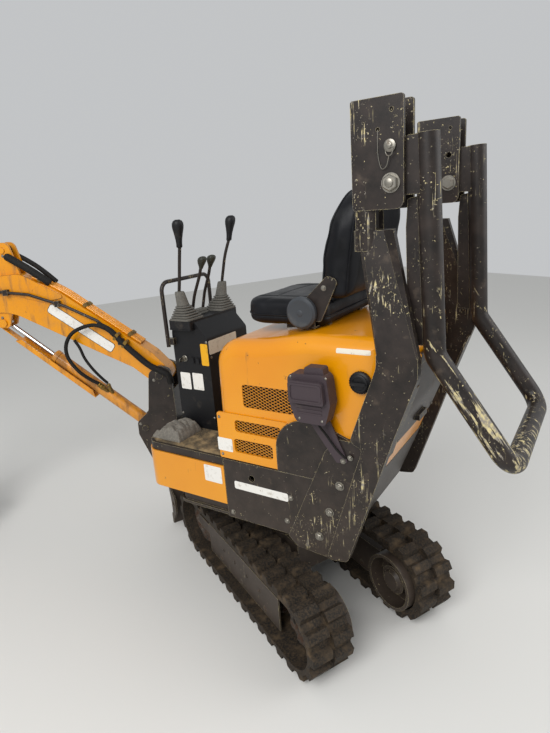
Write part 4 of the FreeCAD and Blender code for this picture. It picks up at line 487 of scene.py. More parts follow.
def add_tube(mesh, points, radius, sides=12):
    """A round rod or hose along places in metres. radius is in mm, one or one for each point."""
    last = len(points) - 1
    radii = radius if isinstance(radius, list) else [radius] * len(points)
    side = (points[1] - points[0]).orthogonal().normalized()
    rings = []
    for i, point in enumerate(points):
        onward = (points[min(i + 1, last)] - points[max(i - 1, 0)]).normalized()
        side = (side - onward * side.dot(onward)).normalized()
        other = onward.cross(side)
        rings.append([mesh.verts.new(point + (side * math.cos(a) + other * math.sin(a)) * radii[i] * MM)
                      for a in (2 * math.pi * k / sides for k in range(sides))])
    skin_rings(mesh, rings)


def add_plate(mesh, place, outline, low, high):
    """A plate cut to an outline in place's XY plane, from low to high in mm along its Z."""
    skin_rings(mesh, [[mesh.verts.new(spot(place, x, y, z)) for x, y in outline] for z in (low, high)])


def rounded(width, height, corner, steps=5):
    """The outline of a rectangle with round corners, about its middle, in mm."""
    outline = []
    for quarter, (sx, sy) in enumerate(((1, 1), (-1, 1), (-1, -1), (1, -1))):
        for k in range(steps + 1):
            angle = math.pi / 2 * (quarter + k / steps)
            outline.append((sx * (width / 2 - corner) + corner * math.cos(angle),
                            sy * (height / 2 - corner) + corner * math.sin(angle)))
    return outline


def closed(name, mesh):
    """Ends the editing of a mesh: its faces look outward, and it becomes mesh data."""
    bmesh.ops.recalc_face_normals(mesh, faces=mesh.faces)
    data = bpy.data.meshes.new(name)
    mesh.to_mesh(data)
    mesh.free()
    return data


def make_piece(name, mesh, material, body, sharp=35):
    """Turns the edited mesh into an object that rides on a body."""
    return dress(bpy.data.objects.new(name, closed(name, mesh)), material, body, sharp)


def dress(piece, material, body, sharp=35):
    """Gives a piece its finish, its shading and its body."""
    if material:
        piece.data.materials.clear()
        piece.data.materials.append(material)
    piece.data.polygons.foreach_set("use_smooth", [True] * len(piece.data.polygons))
    piece.data.set_sharp_from_angle(angle=math.radians(sharp))
    if piece.name not in scene.collection.objects:
        scene.collection.objects.link(piece)
    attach(piece, body)
    return piece


# %% [markdown]
# ## Expanded metal in the hood's sides
# The grilles are expanded metal: a sheet is slit and pulled until each slit opens into a diamond,
# which leaves every strand a little turned. Two staggered grids of turned diamond rings repeat
# that exactly, so Geometry Nodes make it from the sizes of one window.

# %% Lattice tree
def tree_with(name, sockets):
    """A Geometry Nodes tree with named inputs of (kind, name). Gives it and its input node."""
    tree = bpy.data.node_groups.new(name, "GeometryNodeTree")
    tree.interface.new_socket("Geometry", in_out="INPUT", socket_type="NodeSocketGeometry")
    for kind, label in sockets:
        tree.interface.new_socket(label, in_out="INPUT", socket_type=kind)
    tree.interface.new_socket("Geometry", in_out="OUTPUT", socket_type="NodeSocketGeometry")
    return tree, add(tree, "NodeGroupInput").outputs


def close_tree(tree, geometry, finish):
    """Ends a tree in real geometry with its finish."""
    real = add(tree, "GeometryNodeRealizeInstances", {0: geometry})
    done = add(tree, "GeometryNodeSetMaterial", {"Geometry": real.outputs[0], "Material": finish})
    add(tree, "NodeGroupOutput", {0: done.outputs[0]})


def grown(name, data, tree, inputs):
    """An object whose mesh is what the tree makes of data."""
    base = bpy.data.objects.new(name, data)
    scene.collection.objects.link(base)
    modifier = base.modifiers.new(name, "NODES")
    modifier.node_group = tree
    for item in tree.interface.items_tree:
        if item.in_out == "INPUT" and item.name in inputs:
            modifier[item.identifier] = inputs[item.name]
    shape = bpy.data.meshes.new_from_object(base.evaluated_get(bpy.context.evaluated_depsgraph_get()))
    base.modifiers.remove(modifier)
    base.data = shape
    return base


def whole_pitches(room, pitch):
    """How often a pitch fits into a room."""
    return combined("FLOOR", combined("DIVIDE", room, pitch), 0.0)


FLOAT, OBJECT, FINISH_INPUT = "NodeSocketFloat", "NodeSocketObject", "NodeSocketMaterial"
SIZES = ("width", "height", "long pitch", "short pitch", "strand", "thickness", "tilt")
lattice, given = tree_with("expanded metal", [(FLOAT, name) for name in SIZES] + [(FINISH_INPUT, "finish")])
square = add(lattice, "GeometryNodeCurvePrimitiveCircle", {"Resolution": 4, "Radius": 0.5}, mode="RADIUS")
pull = add(lattice, "ShaderNodeCombineXYZ", {0: given["long pitch"], 1: given["short pitch"], 2: 1.0})
ring = add(lattice, "GeometryNodeTransform", {"Geometry": square.outputs[0], "Scale": pull.outputs[0]})
flat_ring = add(lattice, "GeometryNodeSetCurveNormal", {0: ring.outputs[0]}, mode="Z_UP")
strand = add(lattice, "GeometryNodeCurvePrimitiveQuadrilateral",
             {"Width": given["strand"], "Height": given["thickness"]}, mode="RECTANGLE")
diamond = add(lattice, "GeometryNodeCurveToMesh", {0: flat_ring.outputs[0], 1: strand.outputs[0]})
columns = whole_pitches(given["width"], given["long pitch"])
rows = whole_pitches(given["height"], given["short pitch"])
grids = []
for shift in (0.0, 0.5):
    grid = add(lattice, "GeometryNodeMeshGrid", {
        "Size X": times(columns, given["long pitch"]), "Size Y": times(rows, given["short pitch"]),
        "Vertices X": combined("ADD", columns, 1.0), "Vertices Y": combined("ADD", rows, 1.0)})
    offset = add(lattice, "ShaderNodeCombineXYZ", {0: times(given["long pitch"], shift),
                                                   1: times(given["short pitch"], shift)})
    grids.append(add(lattice, "GeometryNodeSetPosition", {0: grid.outputs[0], "Offset": offset.outputs[0]}))
both = add(lattice, "GeometryNodeJoinGeometry", {0: grids[0].outputs[0]})
lattice.links.new(grids[1].outputs[0], both.inputs[0])
lean = add(lattice, "ShaderNodeCombineXYZ", {0: given["tilt"]})
turned_ring = add(lattice, "FunctionNodeEulerToRotation", {0: lean.outputs[0]})
placed_rings = add(lattice, "GeometryNodeInstanceOnPoints", {
    "Points": both.outputs[0], "Instance": diamond.outputs[0], "Rotation": turned_ring.outputs[0]})
close_tree(lattice, placed_rings.outputs[0], given["finish"])

# %% Grilles
WINDOWS = ((-230, -10, 970, 1060), (-172, 36, 864, 912), (-130, 47, 776, 832))   # rear, front, low, high
LONG_PITCH, SHORT_PITCH = 23.0, 12.0
MARGIN = 9.0
GRILLE_FACE, SCREEN_FACE = 339.6, 328
sheets, screen = bmesh.new(), bmesh.new()
for side in (1, -1):
    for rear, front, low, high in WINDOWS:
        sheet = grown("grille_sheet", bpy.data.meshes.new("grille_sheet"), lattice, {
            "width": (front - rear + MARGIN) * MM, "height": (high - low + MARGIN) * MM,
            "long pitch": LONG_PITCH * MM, "short pitch": SHORT_PITCH * MM,
            "strand": 3.0 * MM, "thickness": 1.6 * MM, "tilt": math.radians(-9), "finish": panel_enamel})
        sheet.data.transform(facing(HOUSE, (rear + front) / 2, side * GRILLE_FACE, (low + high) / 2, (0, side, 0)))
        sheets.from_mesh(sheet.data)
        bpy.data.objects.remove(sheet)
        # behind each window hangs a dark sheet, painted shade that stands in for the dark inside of the hood, so that
        # no light shows through it
        behind = facing(HOUSE, (rear + front) / 2, side * SCREEN_FACE, (low + high) / 2, (0, side, 0))
        add_plate(screen, behind, rounded(front - rear + 20, high - low + 20, 6), -2, 0)
grille_mesh = bpy.data.meshes.new("expanded_grilles")
sheets.to_mesh(grille_mesh)
sheets.free()
grilles = dress(bpy.data.objects.new("expanded_grilles", grille_mesh), panel_enamel, "house")
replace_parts(grilles, "hood_grilles")
# the dark sheets behind the grilles are painted shade, made of the black hose rubber
make_piece("grille_dust_screens", screen, hose_rubber, "house")
print("grille faces:", len(grille_mesh.polygons))

# %% [markdown]
# ## Bolts
# Every bracket is held by hexagon bolts with a washer. One bolt is modelled once, and a Geometry
# Nodes tree sets it on a list of points, each with the direction and size that it carries, and a
# random turn of the head from a fixed seed, as a fitter leaves them.

# %% Bolt and its tree
# its sizes are shares of the head's corner radius: a washer, the head and the shank's end
bolt_mesh = bmesh.new()
for profile, sides in (([(1.22, 0.0), (1.28, 0.05), (1.24, 0.14), (1.0, 0.16)], 16),
                       ([(1.0, 0.13), (1.0, 0.62), (0.84, 0.74)], 6), ([(0.5, 0.7), (0.5, 0.86), (0.42, 0.92)], 12)):
    add_turned(bolt_mesh, Matrix.Scale(1000, 4), profile, sides)
bolt_pattern = bpy.data.objects.new("bolt_pattern", closed("bolt_pattern", bolt_mesh))
scene.collection.objects.link(bolt_pattern)

bolting, given = tree_with("bolts on points", [(OBJECT, "bolt"), ("NodeSocketInt", "seed"), (FINISH_INPUT, "finish")])
axis = add(bolting, "GeometryNodeInputNamedAttribute", {"Name": "axis"}, data_type="FLOAT_VECTOR")
size = add(bolting, "GeometryNodeInputNamedAttribute", {"Name": "size"}, data_type="FLOAT")
upright = add(bolting, "FunctionNodeAlignRotationToVector", {"Vector": axis.outputs[0]}, axis="Z")
chance = add(bolting, "FunctionNodeRandomValue", {2: 0.0, 3: 6.28, 8: given["seed"]}, data_type="FLOAT")
spin = add(bolting, "ShaderNodeCombineXYZ", {2: chance.outputs[1]})
spun = add(bolting, "FunctionNodeRotateRotation",
           {0: upright.outputs[0], 1: add(bolting, "FunctionNodeEulerToRotation", {0: spin.outputs[0]}).outputs[0]},
           rotation_space="LOCAL")
one_bolt = add(bolting, "GeometryNodeObjectInfo", {"Object": given["bolt"]})
set_bolts = add(bolting, "GeometryNodeInstanceOnPoints", {
    "Points": given["Geometry"], "Instance": one_bolt.outputs["Geometry"], "Rotation": spun.outputs[0],
    "Scale": size.outputs[0]})
close_tree(bolting, set_bolts.outputs[0], given["finish"])


def bolts(name, body, material, places):
    """Bolts at (frame, x, y, z, direction, size): size is the head's corner radius in mm."""
    data = bpy.data.meshes.new(name + "_points")
    data.from_pydata([spot(place, x, y, z) for place, x, y, z, _, _ in places], [], [])
    data.attributes.new("axis", "FLOAT_VECTOR", "POINT").data.foreach_set(
        "vector", [value for place, _, _, _, way, _ in places for value in place.to_3x3() @ Vector(way)])
    data.attributes.new("size", "FLOAT", "POINT").data.foreach_set("value", [p[5] * MM for p in places])
    piece = grown(name, data, bolting, {"bolt": bolt_pattern, "seed": 7, "finish": material})
    return dress(piece, None, body, 30)


# %% House bolts
def mirrored(rows):
    """The same bolts on both sides of a frame."""
    return [(place, x, side * y, z, (dx, side * dy, dz), size)
            for place, x, y, z, (dx, dy, dz), size in rows for side in (1, -1)]


def on_side(face, size, places):
    """Bolts of one size in the house's left side, at x and z in mm."""
    return [(HOUSE, x, face, z, LEFT, size) for x, z in places]


SEAT_BRACKET_FACE, LAMP_FOOT_FACE = 235.3, 368
post_rows = on_side(POST_FACE, 13.5, ((-410, 739), (-366, 624), (-319, 510)))
bolts("post_bolts", "house", zinc, mirrored(post_rows))
side_rows = (on_side(FRAME_FACE, 9, ((-198, 634), (-176, 530), (84, 500)))
             + on_side(PANEL_FACE, 5, ((110, 915), (110, 756), (-205, 915)))
             + on_side(SEAT_BRACKET_FACE, 8, ((-255, 1330), (-316, 1408))))
lamp_rows = on_side(LAMP_FOOT_FACE, 8, ((-429, 841), (-456, 858)))
bolts("side_bolts", "house", zinc, mirrored(side_rows) + lamp_rows)
print("house bolts:", 2 * len(post_rows + side_rows) + len(lamp_rows))


# %% [markdown]
# ## The roll bar's pivot
# The folded hoop turns on a thick bolt through each clevis, with a wide washer and a nut outside
# and the bolt's head inside. Above it hangs a lock pin with a pull ring on a short wire. They are
# turned parts, so rings of radius and height describe them best.

# %% Pivot bolts and lock pins
def ring_points(place, radius, count=20):
    """Places round a ring, for a tube bent to a circle."""
    return [spot(place, radius * math.cos(a), radius * math.sin(a), 0)
            for a in (math.tau * k / count for k in range(count + 1))]


pivots, rings = bmesh.new(), bmesh.new()
PIVOT, LOCK = (-600, 1725), (-599, 1822)
OUTER, INNER = 348.0, 252.0
for side in (1, -1):
    outward = facing(HOUSE, PIVOT[0], side * OUTER, PIVOT[1], (0, side, 0))
    add_turned(pivots, outward, [(15, -96), (15, 0.5), (27, 0.5), (27.5, 1.2), (27, 4), (16, 4)], 32)
    add_turned(pivots, outward, [(23, 4), (23, 15), (20, 17.5)], 6)
    add_turned(pivots, outward, [(12, 16), (12, 21), (10.5, 22)], 20)
    inward = facing(HOUSE, PIVOT[0], side * INNER, PIVOT[1], (0, -side, 0))
    add_turned(pivots, inward, [(27, -0.5), (27, 3), (16, 3)], 28)
    add_turned(pivots, inward, [(22, 3), (22, 10), (19, 12)], 6)
    lock = facing(HOUSE, LOCK[0], side * OUTER, LOCK[1], (0, side, 0))
    add_turned(pivots, lock, [(9.8, -12), (9.8, 0.5), (16, 0.5), (17, 2), (17, 6), (13, 8), (8, 8), (8, 14),
                              (6, 15)], 24)
    pull = facing(HOUSE, LOCK[0], side * (OUTER + 11), LOCK[1] - 13, (0.5, side, 0.0))
    add_tube(rings, ring_points(pull, 14), 1.6, 8)
    wire = [(LOCK[0] + dx, side * (OUTER + dy), LOCK[1] + dz)
            for dx, dy, dz in ((0, 12, -27), (8, 10, -52), (24, 4, -58), (34, 2, -30), (36, 1.4, 6), (36, 0, 44))]
    add_tube(rings, along(HOUSE, wire), 1.2, 6)
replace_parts(make_piece("roll_bar_pivots", pivots, zinc, "house"), "rops_pins")
make_piece("lock_pin_rings", rings, zinc, "house")

# %% [markdown]
# ## Joysticks, travel levers and their boots
# Each joystick is a steel rod with a moulded grip, and comes out of a rubber boot with square
# ribs that turn into a smooth round neck. Rings of a superellipse go from square to round, and a
# sheared frame lets the boot lean while its foot stays flat.

# %% Boots
def leaning(place, foot, top):
    """A frame at foot whose Z axis leads to top, while X and Y stay level."""
    lean = (Vector(top) - Vector(foot)).normalized()
    shear = Matrix.Identity(4)
    shear.col[2][:3] = lean
    return Matrix.Translation(spot(place, *foot)) @ place.to_3x3().to_4x4() @ shear


boots = bmesh.new()
bellows = [(57, 0, 9), (57, 7, 9), (52, 9, 6)]
for k, radius in enumerate((53, 48, 43, 38, 33)):
    low = 9 + k * 11
    squareness = 5.5 - 0.7 * k
    bellows += [(radius - 7, low + 2, squareness), (radius, low + 4, squareness), (radius, low + 8, squareness),
                (radius - 9, low + 11, squareness)]
neck = [(27, 66, 2.4), (26, 70, 2.2), (24, 96), (21, 124), (19, 128), (12, 129)]
for side in (1, -1):
    add_turned(boots, leaning(HOUSE, (424, side * 119, 1244.2), (421, side * 150, 1368)), bellows + neck, 40)
low_boot = HOUSE @ Matrix.Translation((453 * MM, 0, 1244.2 * MM)) @ Matrix.Diagonal((0.42, 1, 1, 1))
add_turned(boots, low_boot, [(50, 0, 8), (50, 6, 8), (45, 8, 8), (48, 11, 8), (48, 15, 8), (42, 18, 8), (40, 21, 8),
                             (34, 22, 8)], 40)
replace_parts(make_piece("ribbed_boots", boots, grey_rubber, "house", 50), "lever_boots")

# %% Levers
rods, grips, knobs = bmesh.new(), bmesh.new(), bmesh.new()
grip_rings = [(10, -4), (12.5, 0), (12.5, 14), (14, 30), (18, 52), (22.5, 72), (24, 84), (23, 95), (18, 104), (9, 109)]
knob_rings = [(8, -2), (9, 2), (12, 12), (18, 26), (20.5, 38), (19, 47), (12, 53), (4, 55)]
for side in (1, -1):
    joystick = [(421, side * 151, 1371), (410, side * 153, 1420), (394, side * 158, 1490), (370, side * 170, 1565)]
    add_tube(rods, along(HOUSE, joystick), 7, 14)
    add_turned(grips, leaning(HOUSE, (372, side * 170, 1558), (358, side * 180, 1664)), grip_rings, 28)
    travel = [(458, side * 36, 1266), (446, side * 36, 1310), (434, side * 35, 1345), (402, side * 33, 1415),
              (387, side * 32, 1458)]
    add_tube(rods, along(HOUSE, travel), 7, 14)
    add_turned(knobs, leaning(HOUSE, (387, side * 32, 1452), (370, side * 32, 1508)), knob_rings, 28)
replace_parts(make_piece("lever_rods", rods, frame_enamel, "house", 50), "control_levers")
make_piece("joystick_grips", grips, black_plastic, "house", 60)
make_piece("travel_knobs", knobs, knob_plastic, "house", 60)

# %% [markdown]
# ## Blank labels
# The machine carries labels and stickers, and here they all stay blank. A label is a thin film:
# a grid with round corners whose points are dropped on the solid that it sticks to, so it also
# follows a curved panel.

# %% Labels
def skin_of(piece):
    """A search tree over a piece's faces, to drop points on."""
    return BVHTree.FromPolygons([v.co for v in piece.data.vertices], [p.vertices for p in piece.data.polygons])


def stick_label(name, node, place, centre, out, width, height, corner, material, upward=UP, body="house", lift=0.7):
    """Lays a blank film on a node. centre is in mm of place, and out points away from the surface."""
    surface = skin_of(nodes[node])
    face = facing(place, *centre, out, upward)
    away = face.to_3x3() @ Vector((0, 0, 1))
    film = bmesh.new()
    rows = []
    for j in range(17):
        v = -math.cos(math.pi * j / 16) * height / 2
        into = max(0.0, corner - (height / 2 - abs(v)))
        half = width / 2 - corner + math.sqrt(max(corner ** 2 - into ** 2, 0.0))
        row = []
        for i in range(21):
            start = face @ Vector((half * (i / 10 - 1) * MM, v * MM, 0.06))
            hit = surface.ray_cast(start, -away)[0] or face @ Vector((half * (i / 10 - 1) * MM, v * MM, 0))
            row.append(film.verts.new(hit + away * lift * MM))
        rows.append(row)
    for low, high in zip(rows, rows[1:]):
        for i in range(20):
            film.faces.new((low[i], low[i + 1], high[i + 1], high[i]))
    film.normal_update()
    bmesh.ops.solidify(film, geom=film.faces[:], thickness=0.4 * MM)
    make_piece(name, film, material, body)


LABELS = (
    ("side_frame", "upper_frame", (-62, FRAME_FACE, 631), LEFT, 250, 34, 7, white_label),
    ("skirt", "front_skirt", (171, FRAME_FACE, 653), LEFT, 90, 74, 5, white_label),
    ("panel", "side_panel_left", (93, PANEL_FACE, 799), LEFT, 72, 56, 5, white_label),
    ("hood_rear", "hood", (-465, 330, 1222), LEFT, 120, 16, 4, cream_label),
    ("console_front", "console", (450, CONSOLE_FACE, 962), LEFT, 58, 78, 4, white_label),
    ("console_back", "console", (378, CONSOLE_FACE, 965), LEFT, 60, 78, 4, white_label),
    ("console_side", "console", (324, CONSOLE_FACE, 1093), LEFT, 40, 98, 5, yellow_label),
    ("console_rear", "console", (300, 40, 1124), BACK, 200, 62, 6, cream_label),
)
for name, node, centre, out, width, height, corner, material in LABELS:
    stick_label("label_" + name, node, HOUSE, centre, out, width, height, corner, material)
# the long label on the boom leans with it, in a thin dark frame
for name, width, height, corner, material, lift in (("label_boom_frame", 366, 50, 14, hose_rubber, 0.5),
                                                    ("label_boom", 361, 45, 12, white_label, 1.0)):
    stick_label(name, "boom", BOOM, (433, 52, 1193), LEFT, width, height, corner, material, (-216, 0, 285), "boom",
                lift)
print("labels:", len(LABELS) + 1)

# %% [markdown]
# ## The padded seat
# Foam swells in its vinyl cover, so the middles of its faces stand prouder than its edges. Cloth
# simulation does this: the block starts a little small, pressure blows its skin up, and no point
# may move further than the foam could push it. Seams come afterwards: grooves are pressed into
# the fine mesh, and a welted seam, a cord in vinyl, runs along the edges.

# %% Padding
SKIN_VOXEL = 6               # mm
AIR_PRESSURE, SWELL_FRAMES = 4.0, 20


def padded_block(name, rings, reach_mm, calm, grooves):
    """A foam block from rings of places. calm is how often its skin is smoothed after swelling, and
    grooves gives how deep a seam lies at a place, in mm."""
    block = bmesh.new()
    skin_rings(block, [[block.verts.new(p) for p in ring] for ring in rings])
    pad = bpy.data.objects.new(name, closed(name, block))
    scene.collection.objects.link(pad)
    remesh = pad.modifiers.new("even_skin", "REMESH")
    remesh.mode = "VOXEL"
    remesh.voxel_size = SKIN_VOXEL * MM
    settle(pad)
    start = [v.co.copy() for v in pad.data.vertices]
    cloth = pad.modifiers.new("swelling", "CLOTH")
    cloth.settings.use_pressure = True
    cloth.settings.uniform_pressure_force = AIR_PRESSURE
    cloth.settings.effector_weights.gravity = 0.0
    for number in range(1, SWELL_FRAMES + 1):
        scene.frame_set(number)
    settle(pad)
    scene.frame_set(1)
    for vertex, was in zip(pad.data.vertices, start):
        moved = vertex.co - was
        if moved.length > reach_mm * MM:
            vertex.co = was + moved.normalized() * reach_mm * MM
    taut = pad.modifiers.new("taut_skin", "SMOOTH")
    taut.factor, taut.iterations = 0.5, calm
    finer = pad.modifiers.new("finer", "SUBSURF")
    finer.levels = finer.render_levels = 1
    settle(pad)
    pad.data.update()
    normals = [v.normal.copy() for v in pad.data.vertices]
    to_house = HOUSE.inverted()
    for vertex, normal in zip(pad.data.vertices, normals):
        vertex.co -= normal * grooves(to_house @ vertex.co / MM, to_house.to_3x3() @ normal) * MM
    dress(pad, seat_vinyl, "house", 60)
    return pad


def settle(piece):
    """Applies a piece's modifiers to its mesh."""
    shape = bpy.data.meshes.new_from_object(piece.evaluated_get(bpy.context.evaluated_depsgraph_get()))
    piece.modifiers.clear()
    piece.data = shape


def dip(distance, width):
    """A soft groove's share of depth at a distance from its line, both in mm."""
    return math.exp(-(distance / width) ** 2)


def corner_ring(front, back, half, corner_front, corner_back, steps=8):
    """A house-frame outline seen from above: x from back to front, y across, with round corners."""
    line = []
    for x, y, radius, start in ((front, half, corner_front, 0), (back, half, corner_back, 90),
                                (back, -half, corner_back, 180), (front, -half, corner_front, 270)):
        cx = x - radius if x == front else x + radius
        cy = y - radius if y > 0 else y + radius
        for k in range(steps + 1):
            angle = math.radians(start + 90 * k / steps)
            line.append((cx + radius * math.cos(angle), cy + radius * math.sin(angle)))
    return line


# %% Seat cushion
BAND_SEAM = 1298             # the height of the seam round the cushion, in mm
cushion_rings = []
for z, inset in ((1270.5, 16), (1272, 8), (1282, 3), (1300, 2), (1330, 3), (1346, 8), (1352, 16)):
    line = corner_ring(58 - inset, -318 + inset, 228 - inset, 90 - inset, 50 - inset)
    cushion_rings.append([spot(HOUSE, x, y, z) for x, y in line])


def cushion_seams(p, n):
    """The depth of the cushion's seams at a place p with a normal n, both in the house's frame."""
    band = 3.0 * dip(p.z - BAND_SEAM, 3) * (abs(n.z) < 0.7)
    sides = 4.0 * (dip(abs(p.y) - 142, 5)) * (n.z > 0.5) * (p.x < 10)
    across = 3.0 * dip(p.x + 60 + 0.0006 * p.y ** 2, 5) * (n.z > 0.5) * (abs(p.y) < 142)
    return band + sides + across


cushion = padded_block("seat_cushion_padded", cushion_rings, 9, 6, cushion_seams)
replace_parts(cushion, "seat_cushion")

# %% Seat back
def back_profile(z):
    """The front and rear x of the seat's back at a height, from its side view."""
    front = ((1364, -288), (1440, -291), (1500, -296), (1560, -308), (1640, -334), (1735, -374))
    rear = ((1364, -400), (1735, -455))
    return [next(a[1] + (b[1] - a[1]) * (z - a[0]) / (b[0] - a[0]) for a, b in zip(line, line[1:]) if z <= b[0])
            for line in (front, rear)]


back_rings = []
for z, inset in ((1366, 14), (1369, 6), (1380, 2), (1440, 2), (1500, 2), (1560, 2), (1612, 2), (1640, 3), (1665, 3),
                 (1690, 3), (1708, 3), (1720, 3), (1728, 6), (1732, 14)):
    front, rear = back_profile(z)
    over = max(0.0, z - 1610)
    half = 108 + math.sqrt(max(120 ** 2 - over ** 2, 0.0)) if over else 228
    back_rings.append([spot(HOUSE, x, y, z) for x, y in
                       corner_ring(front - inset, rear + inset, half - inset, 34 - inset, 24 - inset)])


def back_seams(p, n):
    """The same for the back, whose seams are only in its front."""
    front = n.x > 0.3
    sides = 4.0 * dip(abs(p.y) - 140, 5) * front * (p.z < 1640)
    across = 3.5 * dip(p.z - 1660 + 0.0012 * p.y ** 2, 5) * front * (abs(p.y) < 150)
    lower = 3.0 * dip(p.z - 1480 + 0.0006 * p.y ** 2, 5) * front * (abs(p.y) < 140)
    return sides + across + lower


backrest = padded_block("seat_back_padded", back_rings, 7, 40, back_seams)
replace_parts(backrest, "seat_back")

# %% Welted seams
def welt(mesh, pad, places, radius=3.2):
    """A welt laid on a pad's skin: each place is moved to the skin's nearest point."""
    skin = skin_of(pad)
    line = []
    for place in places:
        hit, normal, _, _ = skin.find_nearest(place)
        line.append(hit + normal * 0.6 * MM)
    add_tube(mesh, line + line[:1], radius, 8)


welts = bmesh.new()
welt(welts, cushion, [spot(HOUSE, x, y, BAND_SEAM) for x, y in corner_ring(60, -320, 230, 90, 50, 12)])
# up the back's left edge and round its shoulder, and the same mirrored, at its front and rear
edge_line = [(-226, 1372 + 30 * k) for k in range(8)]
edge_line += [(-108 - 118 * math.cos(a), 1612 + 118 * math.sin(a))
              for a in (math.radians(90 * k / 9) for k in range(1, 10))]
edge_line += [(-y, z) for y, z in edge_line[::-1]]
for face, inward in ((0, -4), (1, 4)):
    welt(welts, backrest, [spot(HOUSE, back_profile(min(z, 1734))[face] + inward, y, z) for y, z in edge_line])
make_piece("seat_welts", welts, seat_vinyl, "house", 80)
print("seat faces:", len(cushion.data.polygons), len(backrest.data.polygons))

# %% [markdown]
# ## Hydraulic hoses
# Steel pipes carry the oil along the boom, and rubber hoses bridge every joint. The lines below
# are smooth curves through points beside the boom. Each hose ends in a crimped ferrule and a
# hexagon nut on a port.

# %% Hoses on the boom
def beside_boom(points):
    return along(BOOM, points, 6)


def add_fitting(mesh, place, at, direction, radius):
    """A crimped ferrule and a nut at a hose's end, looking from the port towards the hose."""
    frame_here = aimed(place, at, direction)
    add_turned(mesh, frame_here, [(radius * 1.5, 0), (radius * 1.5, 11), (radius * 1.3, 12)], 6)
    add_turned(mesh, frame_here, [(radius * 1.2, 11), (radius * 1.45, 13), (radius * 1.45, 20), (radius * 1.3, 22),
                                  (radius * 1.45, 24), (radius * 1.45, 31), (radius * 1.1, 34)], 18)


hoses, fittings = bmesh.new(), bmesh.new()
# the thick fabric sleeve that gathers the hoses from the post to the side of the boom
sleeve = [(18, 62, 905), (28, 68, 950), (110, 70, 1000), (177, 70, 1064), (229, 70, 1119), (281, 70, 1182),
          (337, 70, 1214)]
line = beside_boom(sleeve)
add_tube(hoses, line, [16 - 3 * (i / len(line)) for i in range(len(line))], 16)
# the loop that hangs beside the boom's belly, from the sleeve to the cylinder's port
loop = [(300, 76, 1196), (350, 80, 1212), (408, 84, 1204), (468, 85, 1175), (505, 85, 1120), (506, 84, 1056),
        (466, 78, 984), (418, 60, 932), (394, 46, 911)]
add_tube(hoses, beside_boom(loop), 9, 14)
second = [(470, 64, 1140), (449, 64, 1100), (434, 62, 1046), (405, 58, 990), (374, 44, 938), (354, 30, 906)]
add_tube(hoses, beside_boom(second), 7, 12)
# the wrapped bundle that leaves the top pipes for the arm's cylinder
bundle = [(556, 30, 1416), (600, 38, 1454), (650, 44, 1494), (700, 46, 1528), (745, 44, 1556)]
line = beside_boom(bundle)
add_tube(hoses, line, [15] + [18] * (len(line) - 2) + [14], 16)
add_tube(hoses, beside_boom([(r, -y, z) for r, y, z in bundle]), 12, 14)
make_piece("boom_hoses", hoses, hose_rubber, "boom", 60)
add_fitting(fittings, BOOM, (377, 34, 882), (0.5, 0.35, 0.8), 9)
add_fitting(fittings, BOOM, (348, 22, 868), (0.1, 0.25, 0.95), 7)
for foot, head in (((360, 12, 850), (379, 36, 886)), ((344, 8, 838), (348, 22, 872))):
    add_tube(fittings, [spot(BOOM, *foot), spot(BOOM, *head)], 10, 12)
make_piece("hose_fittings", fittings, yellow_zinc, "boom")

# %% Pipes on the boom's back and their clamps
pipes, clamps = bmesh.new(), bmesh.new()
boom_skin = skin_of(nodes["boom"])
OFF_BACK = (-0.66, 0, 0.75)  # square to the boom's back, away from it


def on_back(r, y, lift):
    """A place above the boom's back at r, lifted off it by some mm."""
    start = spot(BOOM, r - 200, y, 1000 + r * 0.87 + 220)
    hit, normal, _, _ = boom_skin.ray_cast(start, BOOM.to_3x3() @ -Vector(OFF_BACK))
    return hit + normal * lift * MM


for y in (29, 10, -10, -29):
    add_tube(pipes, smooth_run([on_back(r, y, 7) for r in (140, 200, 260, 330, 400, 470, 540, 590)]), 6, 12)
make_piece("back_pipes", pipes, boom_enamel, "boom", 60)
for r in (190, 380, 560):
    middle = BOOM.inverted() @ on_back(r, 0, 14) / MM
    foot = facing(BOOM, *middle, OFF_BACK, LEFT)
    add_plate(clamps, foot, rounded(20, 76, 4), -10, 1)
    add_turned(clamps, foot, [(7, 0), (7, 5), (5, 6)], 6)
for r, z in ((216, 1112), (252, 1150)):
    add_plate(clamps, facing(BOOM, r, 62, z, LEFT, OFF_BACK), rounded(15, 40, 7), -12, 21)
make_piece("pipe_clamps", clamps, yellow_zinc, "boom")

# %% [markdown]
# ## Trim on the house
# The filler's cap is knurled for a gloved hand, the belt's reel has a lid with a raised rim, and
# the console carries a key switch, rocker switches and screws. They are turned rings and cut
# plates set on the solid's face.

# %% Trim
def toothed(radius, depth, count):
    """The outline of a knurled rim, in mm."""
    turns = [(radius + depth * (k % 4 in (1, 2)), math.tau * k / (count * 4)) for k in range(count * 4)]
    return [(reach * math.cos(a), reach * math.sin(a)) for reach, a in turns]


trim = bmesh.new()
cap = facing(HOUSE, -492, 342, 1124, LEFT)
add_plate(trim, cap, toothed(36.2, 1.6, 26), 2, 13)
add_turned(trim, cap, [(30, 12), (30, 22), (28, 23.5), (22, 24), (20, 21), (0.5, 21)], 32)
add_plate(trim, cap, rounded(50, 12, 5), 20, 30)
for x in (395, 365):
    switch = facing(HOUSE, x, CONSOLE_FACE, 1062, LEFT)
    add_plate(trim, switch, rounded(26, 34, 4), -1, 2)
    add_plate(trim, switch, rounded(18, 26, 3), 1, 6)
# the raised lip round the console's cap
lip = facing(HOUSE, 426, 0, 1206, UP, (1, 0, 0))
add_plate(trim, lip, rounded(352, 128, 16), -3, 1)
make_piece("cap_and_switches", trim, black_plastic, "house", 40)

